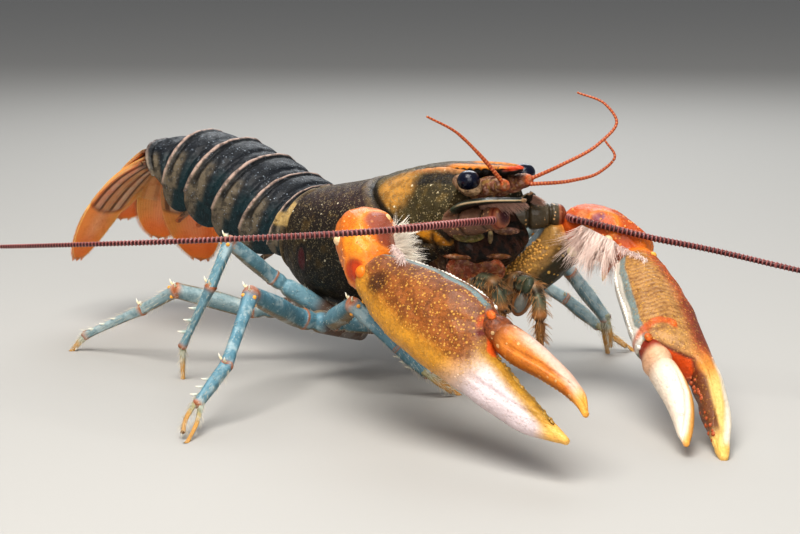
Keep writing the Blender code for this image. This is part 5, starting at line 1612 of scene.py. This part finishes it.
def chela_skin(side, rows, rings, sides):
    """A claw piece as a loft along the claw, with u along it, v across it and s towards its back."""
    root, along, across, back = chela_axes(side)
    data = spline([(u, 0.0, 0.0, low, high, thick) for u, low, high, thick in rows], rings)
    lean = np.linspace(0, math.pi / 2, 7)[1:-1]
    first = np.repeat(data[:1], len(lean), 0)
    last = np.repeat(data[-1:], len(lean), 0)
    for rows_of, order, depth in ((first, lean[::-1], -0.9), (last, lean, 0.4)):
        middle = (rows_of[:, 3] + rows_of[:, 4]) / 2
        half = (rows_of[:, 4] - rows_of[:, 3]) / 2
        rows_of[:, 0] += depth * np.sin(order)
        rows_of[:, 3] = middle - half * np.cos(order)
        rows_of[:, 4] = middle + half * np.cos(order)
        rows_of[:, 5] *= np.cos(order)
    data = np.concatenate([first, data, last])
    turn = 2 * math.pi * (np.arange(sides) + 0.5) / sides
    c = np.sign(np.cos(turn)) * np.abs(np.cos(turn)) ** (2 / CHELA_POWER)
    s = np.sign(np.sin(turn)) * np.abs(np.sin(turn)) ** (2 / CHELA_POWER)
    u = np.repeat(data[:, :1], sides, 1)
    v = (data[:, 3:4] + data[:, 4:5]) / 2 + (data[:, 4:5] - data[:, 3:4]) / 2 * c[None]
    b = data[:, 5:6] * s[None]
    girth = across * v[..., None] + back * b[..., None]
    place = root + CHELA_SCALE[side] * (along * u[..., None] + CHELA_GIRTH[side] * girth)
    poles = [place[0].mean(0) - along * 0.3, place[-1].mean(0) + along * 0.1]
    skin = Skin(place, data[:, 0], turn, poles)
    return skin, u, v, s[None] + 0 * u


def chela_point(side, u, v, b=0.0):
    """A place on a claw from its distance along it, across it and towards its back."""
    root, along, across, back = chela_axes(side)
    return root + (along * u + (across * v + back * b) * CHELA_GIRTH[side]) * CHELA_SCALE[side]


HINGE_KNOBS = {
    # along the claw, across it and towards its back
    "right": [(23.4, 5.6, 2.4)],
    "left": [(21.6, 4.9, 2.2), (19.8, 0.7, 3.4)],
}
PALM_SHELL = claw_finish("palm_shell", "5e3416", "d8a24c", 1.0, 0.00045, 0.42, 0.15)


def make_palm(side):
    draw = random.Random(61)
    rows = np.array(PALM_ROWS[side])
    _, along, across, back = chela_axes(side)
    skin, u, v, s = chela_skin(side, PALM_ROWS[side], PALM_RINGS, PALM_SIDES)
    gap = np.interp(u, rows[:, 0], rows[:, 2]) - v
    rise = v - np.interp(u, rows[:, 0], rows[:, 1])
    swell = 0.10 * np.sin(u * 0.9 + 1.4 * np.sin(v * 0.8)) * np.sin(v * 1.3 + s)
    swell = swell - 0.35 * hump(u, 1.0, 0.5)
    swell = swell - 0.20 * band(rise, 2.4, 0.2, 0.4) * step_up(u, 25, 29) * (np.abs(s) > 0.3)
    swell = swell + 0.10 * band(gap, 0.5, 0.3, 0.4) * step_up(u, 26, 29)
    if side == "left":
        wave = np.sin(u * 7.5 + 2.2 * np.sin(v * 1.4) + 1.2 * np.sin(u * 0.8))
        swell = swell + 0.05 * wave * band(gap, 3.6, 1.8, 1.0) * (u < 21)
    skin.push(swell)
    inner = 1 - step_up(u, 21.0, 22.5)
    finger = step_up(u, 23.5, 27.5)
    if side == "right":
        tint = Tint(skin.grid, "9c5c28", 1.0)
        tint.lay("dd9c34", 0.45, 1 - step_up(rise, 1.6, 4.2))
        tint.lay("83553f", 0.95, 0.85 * (1 - step_up(gap, 1.6, 4.2)))
        tint.lay("6f8a8c", 0.3, 0.9 * band(gap, 0.45, 0.25, 0.15) * inner)
        spot = blob(skin.grid, chela_point(side, 6.0, -0.6, 3.6), 2.4, 0.6)
        tint.lay("2e1a10", 0.6, 0.85 * spot)
        pale = step_up(u + 0.45 * (gap - 2.6), 24.6, 29.6) * step_up(gap, 0.8, 2.2)
        tint.lay("b98a34", 0.5, finger)
        tint.lay("e4d2d4", 0.1, 0.95 * pale)
        tint.lay("7e6a2e", 0.4, 0.7 * finger * (1 - step_up(gap, 0.1, 0.5)))
        tint.lay("f0b860", 0.0, step_up(u, 38.5, 41.5))
    else:
        tint = Tint(skin.grid, "bb8c54", 0.7)
        tint.lay("8a5c2c", 0.7, 0.55 * step_up(wave, 0.0, 0.6) * (u < 21))
        tint.lay("bc5828", 0.7, 1 - step_up(rise, 2.0, 5.0))
        low_middle = (1 - step_up(rise, 2.2, 4.6)) * band(u, 19, 3.0, 3.5)
        tint.lay("7e3a2c", 0.6, 0.85 * low_middle)
        tint.lay("7f9a9c", 0.3, 0.85 * band(gap, 0.45, 0.25, 0.2) * inner)
        tint.lay("e4ddd0", 0.0, (1 - step_up(gap, 0.08, 0.22)) * inner)
        # painted highlight: a thin pale-lilac line along the outer lower edge of the palm
        tint.lay("e9cfc4", 0.1, 0.8 * (1 - step_up(rise, 0.05, 0.16)))
        tint.lay("de9440", 0.3, finger)
        tint.lay("edc878", 0.1, 0.9 * step_up(u, 27, 31))
        tint.lay("f8eedc", 0.0, 0.9 * finger * (1 - step_up(rise, 0.8, 1.7)))
        cutting_edge = (1 - step_up(gap, 0.8, 1.5)) * band(u, 30.5, 7.0, 2.5)
        tint.lay("5a1c1c", 0.4, 0.9 * cutting_edge)
        tint.lay("f0c068", 0.0, step_up(u, 40.0, 42))
    collar = {"right": (1.0, 2.4), "left": (2.6, 3.8)}[side]
    tint.lay("e07a24", 0.2, 1 - step_up(u, *collar))
    hinge = {"right": (23.2, 5.0), "left": (20.6, 2.8)}[side]
    ring = np.sqrt((u - hinge[0]) ** 2 + (0.55 * (v - hinge[1])) ** 2)
    radius, strength = {"right": (0.4, 0.7), "left": (1.45, 0.8)}[side]
    arc = band(ring, radius, 0.3, 0.5) * step_up(hinge[0] - u, -0.6, 0.4) * (gap < 5.6)
    tint.lay("cf5a1e", 0.3, strength * arc)
    under_finger = (1 - step_up(gap, 0.5, 0.9)) * band(u, 24.6, 2.2, 0.6)
    tint.lay("dd5a20", 0.0, 0.9 * under_finger)
    if side == "right":
        bow = hinge[0] + 1.2 - 0.10 * (v - hinge[1]) ** 2
        dark_line = band(u, bow, 0.30, 0.30) * (np.abs(v - hinge[1]) < 2.6) * (s > 0)
        tint.lay("5a1418", 0.0, 0.85 * dark_line)
    heap = Heap(skin.mesh(tint))
    normal = skin.normals()
    for _ in range(PALM_GRANULES):
        i = int(draw.uniform(0.08, 0.62) * PALM_RINGS)
        j = int(draw.random() * PALM_SIDES)
        if normal[i, j] @ back < -0.2:
            continue
        size = draw.uniform(0.07, 0.14)
        lighter = tint.values[i, j, :3] * 1.30 + (0.06, 0.04, 0.02)
        heap.add(wart(skin, i, j, size, size * 0.6, lighter.clip(0, 0.9)))
    for bead_u in np.linspace(*BEAD_REACH, PALM_BEADS):
        v_at = float(np.interp(bead_u, rows[:, 0], rows[:, 2])) - 0.05
        ball = globe(chela_point(side, bead_u, v_at), (0.38, 0.36, 0.36), along, across, 14, 9)
        heap.add(ball.mesh(Tint(ball.grid, "f8f2e6")))
    for place in HINGE_KNOBS[side]:
        ball = globe(chela_point(side, *place), (0.80, 0.60, 0.50), along, across, 20, 12)
        heap.add(ball.mesh(Tint(ball.grid, "dd6c26", 0.5)))
    tooth_colour = linear({"right": "a8823c", "left": "b05a34"}[side])
    for k in range(PALM_TEETH):
        tooth_u = PALM_TOOTH_START + PALM_TOOTH_STEP * k
        edge_v = float(np.interp(tooth_u, rows[:, 0], rows[:, 2]))
        size = draw.uniform(0.22, 0.42) * (1.25 if k in LARGE_TEETH else 1.0)
        point = chela_point(side, tooth_u, edge_v - 0.1, draw.uniform(-0.6, 0.9))
        heap.add(knob(point, across, size, size * 0.7, tooth_colour, 9, TOOTH_LEVELS))
    heap.piece(f"palm_{side}", PALM_SHELL, "palm", f"claw_{side}_palm")


FINGER_SHELL = claw_finish("finger_shell", "a85c2a", "f4cf98", 0.6, 0.0010, 0.3, 0.2)


def make_finger(side):
    rows = np.array(FINGER_ROWS[side])
    skin, u, v, s = chela_skin(side, FINGER_ROWS[side], FINGER_RINGS, FINGER_SIDES)
    top = np.interp(u, rows[:, 0], rows[:, 2]) - v
    low = v - np.interp(u, rows[:, 0], rows[:, 1])
    lift = -0.20 * band(low, 1.5, 0.15, 0.35) * step_up(u, 26, 29) * (np.abs(s) > 0.3)
    lift = lift + 0.20 * hump(u, 24.2, 0.8) - 0.25 * hump(u, 25.6, 0.4)
    skin.push(lift)
    if side == "right":
        tint = Tint(skin.grid, "d98434", 0.7)
        pale = (1 - step_up(top, 0.5, 1.7)) * step_up(u, 26, 30)
        tint.lay("e6c4b2", 0.2, 0.92 * pale)
        tint.lay("5e3222", 0.7, 1 - step_up(u, 24.6, 28.5))
        tint.lay("b06a28", 0.5, 0.6 * (1 - step_up(low, 0.2, 0.6)))
    else:
        tint = Tint(skin.grid, "f0e0cc", 0.1)
        tint.lay("e6a650", 0.1, 0.95 * (1 - step_up(low, 0.5, 1.5)))
        tint.lay("e0b08c", 0.2, 1 - step_up(u, 24.5, 28.5))
        tint.lay("8a2c1c", 0.2, 1 - step_up(u, 22.4, 24.2))
    tint.lay("eba648", 0.0, step_up(u, 39.0, 41.8))
    heap = Heap(skin.mesh(tint))
    across = chela_axes(side)[2]
    for k in range(FINGER_TEETH):
        tooth_u = FINGER_TOOTH_START + FINGER_TOOTH_STEP * k
        edge_v = float(np.interp(tooth_u, rows[:, 0], rows[:, 1]))
        size = 0.40 - 0.010 * k
        point = chela_point(side, tooth_u, edge_v + 0.12)
        heap.add(knob(point, -across, size, size * 0.6, linear("d9a860"), 10, TOOTH_LEVELS))
    heap.piece(f"finger_{side}", FINGER_SHELL, "finger", f"claw_{side}_finger")


for claw_side in SIDES:
    make_palm(claw_side)
    make_finger(claw_side)

# The walking legs are slim, pale blue tubes of chitin hinged on the thorax, with orange knees and
# knobs, small spines and pale bristles. The first two pairs end in little pincers and the last two
# in single pointed toes.
LEGS = {
    "right": {
        2: [(-24.5, -6.4, 8.8), (-28.0, -13.0, 9.6), (-20.8, -15.4, 13.4),
            (-15.2, -11.5, 7.4), (-11.9, -8.6, 3.5), (-8.7, -4.7, 0.0)],
        3: [(-29.5, -6.6, 7.2), (-31.9, -16.5, 9.8), (-26.3, -30.3, 16.2),
            (-20.6, -39.2, 8.0), (-18.9, -45.4, 3.8), (-15.0, -51.1, 0.0)],
        4: [(-35.0, -6.6, 7.6), (-40.6, -15.2, 14.8), (-39.8, -24.0, 21.5),
            (-40.0, -27.5, 14.9), (-44.5, -29.7, 5.3), (-44.8, -29.6, 0.0)],
        5: [(-41.0, -6.4, 8.8), (-47.4, -14.2, 8.5), (-53.0, -24.6, 12.0),
            (-61.0, -25.7, 7.9), (-71.0, -30.2, 2.6), (-72.6, -32.2, 0.0)],
    },
    "left": {
        2: [(-24.0, 6.4, 9.2), (-20.6, 9.6, 12.8), (-14.2, 15.2, 23.1),
            (-13.4, 23.4, 14.5), (-11.9, 30.0, 6.5), (-12.7, 32.2, 0.0)],
        3: [(-29.5, 6.6, 7.4), (-28.0, 13.0, 9.6), (-22.6, 19.4, 14.8),
            (-17.6, 26.6, 9.2), (-15.0, 31.6, 4.5), (-10.9, 36.5, 0.0)],
        4: [(-35.0, 6.6, 7.6), (-39.0, 14.0, 12.2), (-41.5, 23.0, 18.6),
            (-43.0, 27.6, 11.4), (-46.0, 30.8, 4.8), (-47.0, 31.8, 0.0)],
        5: [(-41.0, 6.4, 8.8), (-46.5, 14.0, 10.0), (-51.5, 22.4, 13.6),
            (-57.0, 26.6, 8.6), (-63.0, 30.2, 3.2), (-65.0, 31.8, 0.0)],
    },
}
PINCER_LEGS = (2, 3)
KNEE_KNOB_POINTS = (6, 18, 30, 42)
LEG_SPINE_PLACES = (0.35, 0.55, 0.75)
LEG_SPINE_LENGTH = 1.2
TIP_DIP = 0.25
LEG_RADII = {
    2: (1.75, 1.55, 1.25, 1.05, 0.9),
    3: (1.85, 1.6, 1.25, 1.0, 0.85),
    4: (1.6, 1.3, 1.0, 0.85, 0.6),
    5: (1.6, 1.4, 1.15, 0.95, 0.65),
}
LEG_HAIRS = {"thigh": 60, "shin": 70, "paw": 110, "toe": 120}
LEG_BLUES = {2: "668b98", 3: "628c9c", 4: "7094a0", 5: "9aaeb1"}
FAR_LEG_BLUE = "9db2b8"
COXA_SHARE = {2: 0.3, 3: 0.62, 4: 0.3, 5: 0.5}


def leg_finish():
    made = Finish("leg_shell", roughness=(0.30, 0.48), gloss=0.2, bump=0.4)
    made.paint("3a6470", 0.45, True, CLOUDS, Spacing=0.0012, Low=0.46, High=0.60)
    made.paint("c8d6d6", 0.55, True, CLOUDS, Spacing=0.0030, Low=0.50, High=0.62)
    fine = made.paint("c8d8d8", 0.6, True, SPECKS, Spacing=0.0005, Size=0.26, Share=0.45)
    made.raise_by(fine, 0.4)
    return made.done()


LEG_SHELL = leg_finish()


def leg_part(rows, guide, orange, blue, edge="4a7078", sides=48, rings=70):
    """A leg joint, blue with painted shade darkening its underside, a brown-gold line on top and a
    swollen orange band at each listed place.
    """
    skin = limb(rows, guide, sides=sides, rings=rings)
    share = skin.share()
    spots = np.minimum(0 * share + sum(hump(share, at, wide) for at, wide in orange), 1.0)
    lift = 0.12 * spots - 0.08 * band(share, 0.5, 0.25, 0.2)
    skin.push(lift + 0.05 * np.sin(skin.turn * 4))
    up = skin.normals()[:, :, 2]
    tint = Tint(skin.grid, blue, 0.8)
    # painted shade: the downward-facing underside is darker, in the edge colour
    tint.lay(edge, 0.6, 0.8 * step_up(-up, 0.0, 0.7))
    line = step_up(up, 0.86, 0.96) + step_up(-up, 0.55, 0.75)
    tint.lay("8a6834", 0.5, 0.75 * line)
    tint.lay("c4743a", 0.4, 0.9 * spots)
    rings_at = 0 * share + sum(hump(share, at, 0.35 * wide) for at, wide in orange)
    tint.lay("7a3a18", 0.1, 0.6 * np.minimum(rings_at, 1.0))
    return skin, tint, share


def make_leg(side, number, bristles, draw):
    root, bend, knee, wrist, ankle, tip = [np.array(p, float) for p in LEGS[side][number]]
    r0, r1, r2, r3, r4 = LEG_RADII[number]
    name = f"leg_{side}_{number}"
    guide = (1.0, 0.2, 0.1) if number == 4 else (0.2, 0.1, 1.0)
    tip = tip - np.array((0, 0, TIP_DIP))
    blue = LEG_BLUES[number] if side == "right" else FAR_LEG_BLUE
    rows = [(*root, r0, r0), (*(root * 0.4 + bend * 0.6), r0, r0), (*bend, r1, r1),
            (*((bend + knee) / 2), r1 * 1.05, r1), (*knee, r2, r2)]
    joint = np.linalg.norm(bend - root) / (np.linalg.norm(bend - root) + np.linalg.norm(knee - bend))
    skin, tint, share = leg_part(rows, guide, ((joint, 0.009), (0.985, 0.03)), blue, rings=130)
    skin.push(-0.30 * hump(share, joint * 0.85, 0.02))
    # the thigh's base is darker brown: partly its own colour, partly painted shade under the carapace
    coxa = 1 - step_up(share, joint * COXA_SHARE[number], joint * (COXA_SHARE[number] + 0.2))
    tint.lay("6b5548", 0.3, coxa)
    Heap(skin.mesh(tint)).piece(f"{name}_thigh", LEG_SHELL, "leg", f"{name}_upper")
    hair_rows(skin, share, bristles, draw, "thigh")

    rows = [(*knee, r2, r2), (*((knee + wrist) / 2), r3 * 1.1, r3), (*wrist, r3, r3)]
    skin, tint, share = leg_part(rows, guide, ((0.03, 0.07), (0.985, 0.04)), blue, rings=90)
    heap = Heap(skin.mesh(tint))
    for j in KNEE_KNOB_POINTS:
        heap.add(wart(skin, int(0.12 * len(share)), j, 0.34, 0.28, linear("f0a848"), 12))
    for centre, size in ((knee, r2), (wrist, r3)):
        for way in ((-0.5, -0.3, 0.9), (0.5, -0.5, 0.8), (-0.8, 0.3, 0.5)):
            way = unit(way)
            start = centre + way * size * 0.8
            heap.add(spine(start, start + way * 1.3, 0.20, "e8d8b0", "f4efe2"))
    heap.piece(f"{name}_shin", LEG_SHELL, "leg", f"{name}_shank")
    hair_rows(skin, share, bristles, draw, "shin")

    middle = (wrist + ankle) / 2
    heap = Heap()
    if number in PINCER_LEGS:
        rows = [(*wrist, r3, r3), (*middle, r4 * 1.35, r4 * 1.1), (*ankle, r4, r4 * 0.9)]
        toes = pincer_rows(ankle, tip, r4, guide)
    else:
        rows = [(*wrist, r3, r3), (*middle, r4 * 1.15, r4 * 1.1), (*ankle, r4, r4)]
        half_way = (ankle + tip) / 2
        toes = [[(*ankle, r4 * 0.95, r4 * 0.9), (*half_way, r4 * 0.75, r4 * 0.7), (*tip, 0.3, 0.3)]]
    skin, tint, share = leg_part(rows, guide, ((0.03, 0.05), (0.98, 0.05)), blue, rings=80)
    heap.add(skin.mesh(tint))
    hair_rows(skin, share, bristles, draw, "paw")
    for rows in toes:
        skin, tint, share = leg_part(rows, guide, (), "a8a078", "7d7a4e", sides=28, rings=60)
        tint.lay("c8954e", 0.2, step_up(share, 0.25, 0.6))
        tint.lay("6b4a22", 0.0, step_up(share, 0.93, 1.0))
        heap.add(skin.mesh(tint))
        hair_rows(skin, share, bristles, draw, "toe")
    outward = unit((-0.7, 0.7 * SIDES[side], 0.0))
    for f in LEG_SPINE_PLACES:
        centre = wrist + (ankle - wrist) * f
        end = centre + outward * (r4 * 1.2 + LEG_SPINE_LENGTH)
        heap.add(spine(centre, end, 0.32, "a8b8b0", "f0ead8"))
    heap.piece(f"{name}_paw", LEG_SHELL, "foot", f"{name}_foot")


def pincer_rows(start, end, radius, guide):
    """Rows of two slim fingers, parted a little, from the end of a palm to the ground."""
    along = end - start
    apart = unit(np.cross(along, guide))
    out = []
    for sign, reach in ((1, 0.72), (-1, 1.0)):
        root = start - unit(along) * radius * 0.6 + apart * radius * 0.45 * sign
        middle = start + along * 0.5 + apart * radius * 0.95 * sign
        tip = start + along * reach + apart * radius * 0.6 * sign
        out.append([(*root, radius * 0.62, radius * 0.55), (*middle, radius * 0.48, radius * 0.45),
                    (*tip, 0.3, 0.3)])
    return out


def hair_rows(skin, share, bristles, draw, part):
    """Short pale bristles scattered over a leg joint, leaning towards its tip."""
    normal = skin.normals()
    sides = skin.grid.shape[1]
    for _ in range(LEG_HAIRS[part]):
        i = min(int(draw.uniform(0.1, 0.97) * len(share)), len(share) - 2)
        j = int(draw.random() * sides)
        heading = normal[i, j] * 0.8 + unit(skin.grid[i + 1, j] - skin.grid[i - 1, j]) * 0.9
        root = skin.grid[i, j]
        size = min(draw.uniform(0.4, 1.1), max(0.2, root[2] * 0.8))
        shade = np.array(linear("e6dcc4")) * draw.uniform(0.7, 1.1)
        hair = bristle(root, heading, size, 0.03, (0, 0, -0.1), shade, 2)
        bristles.add(hair, (0.02 + 0.95 * share[i, 0], 0.02 + 0.95 * j / sides))


def make_legs():
    draw = random.Random(71)
    for side in SIDES:
        bristles = Heap()
        for number in LEGS[side]:
            make_leg(side, number, bristles, draw)
        bristles.piece(f"leg_bristles_{side}", BRISTLES, "leg", coat=True)


make_legs()
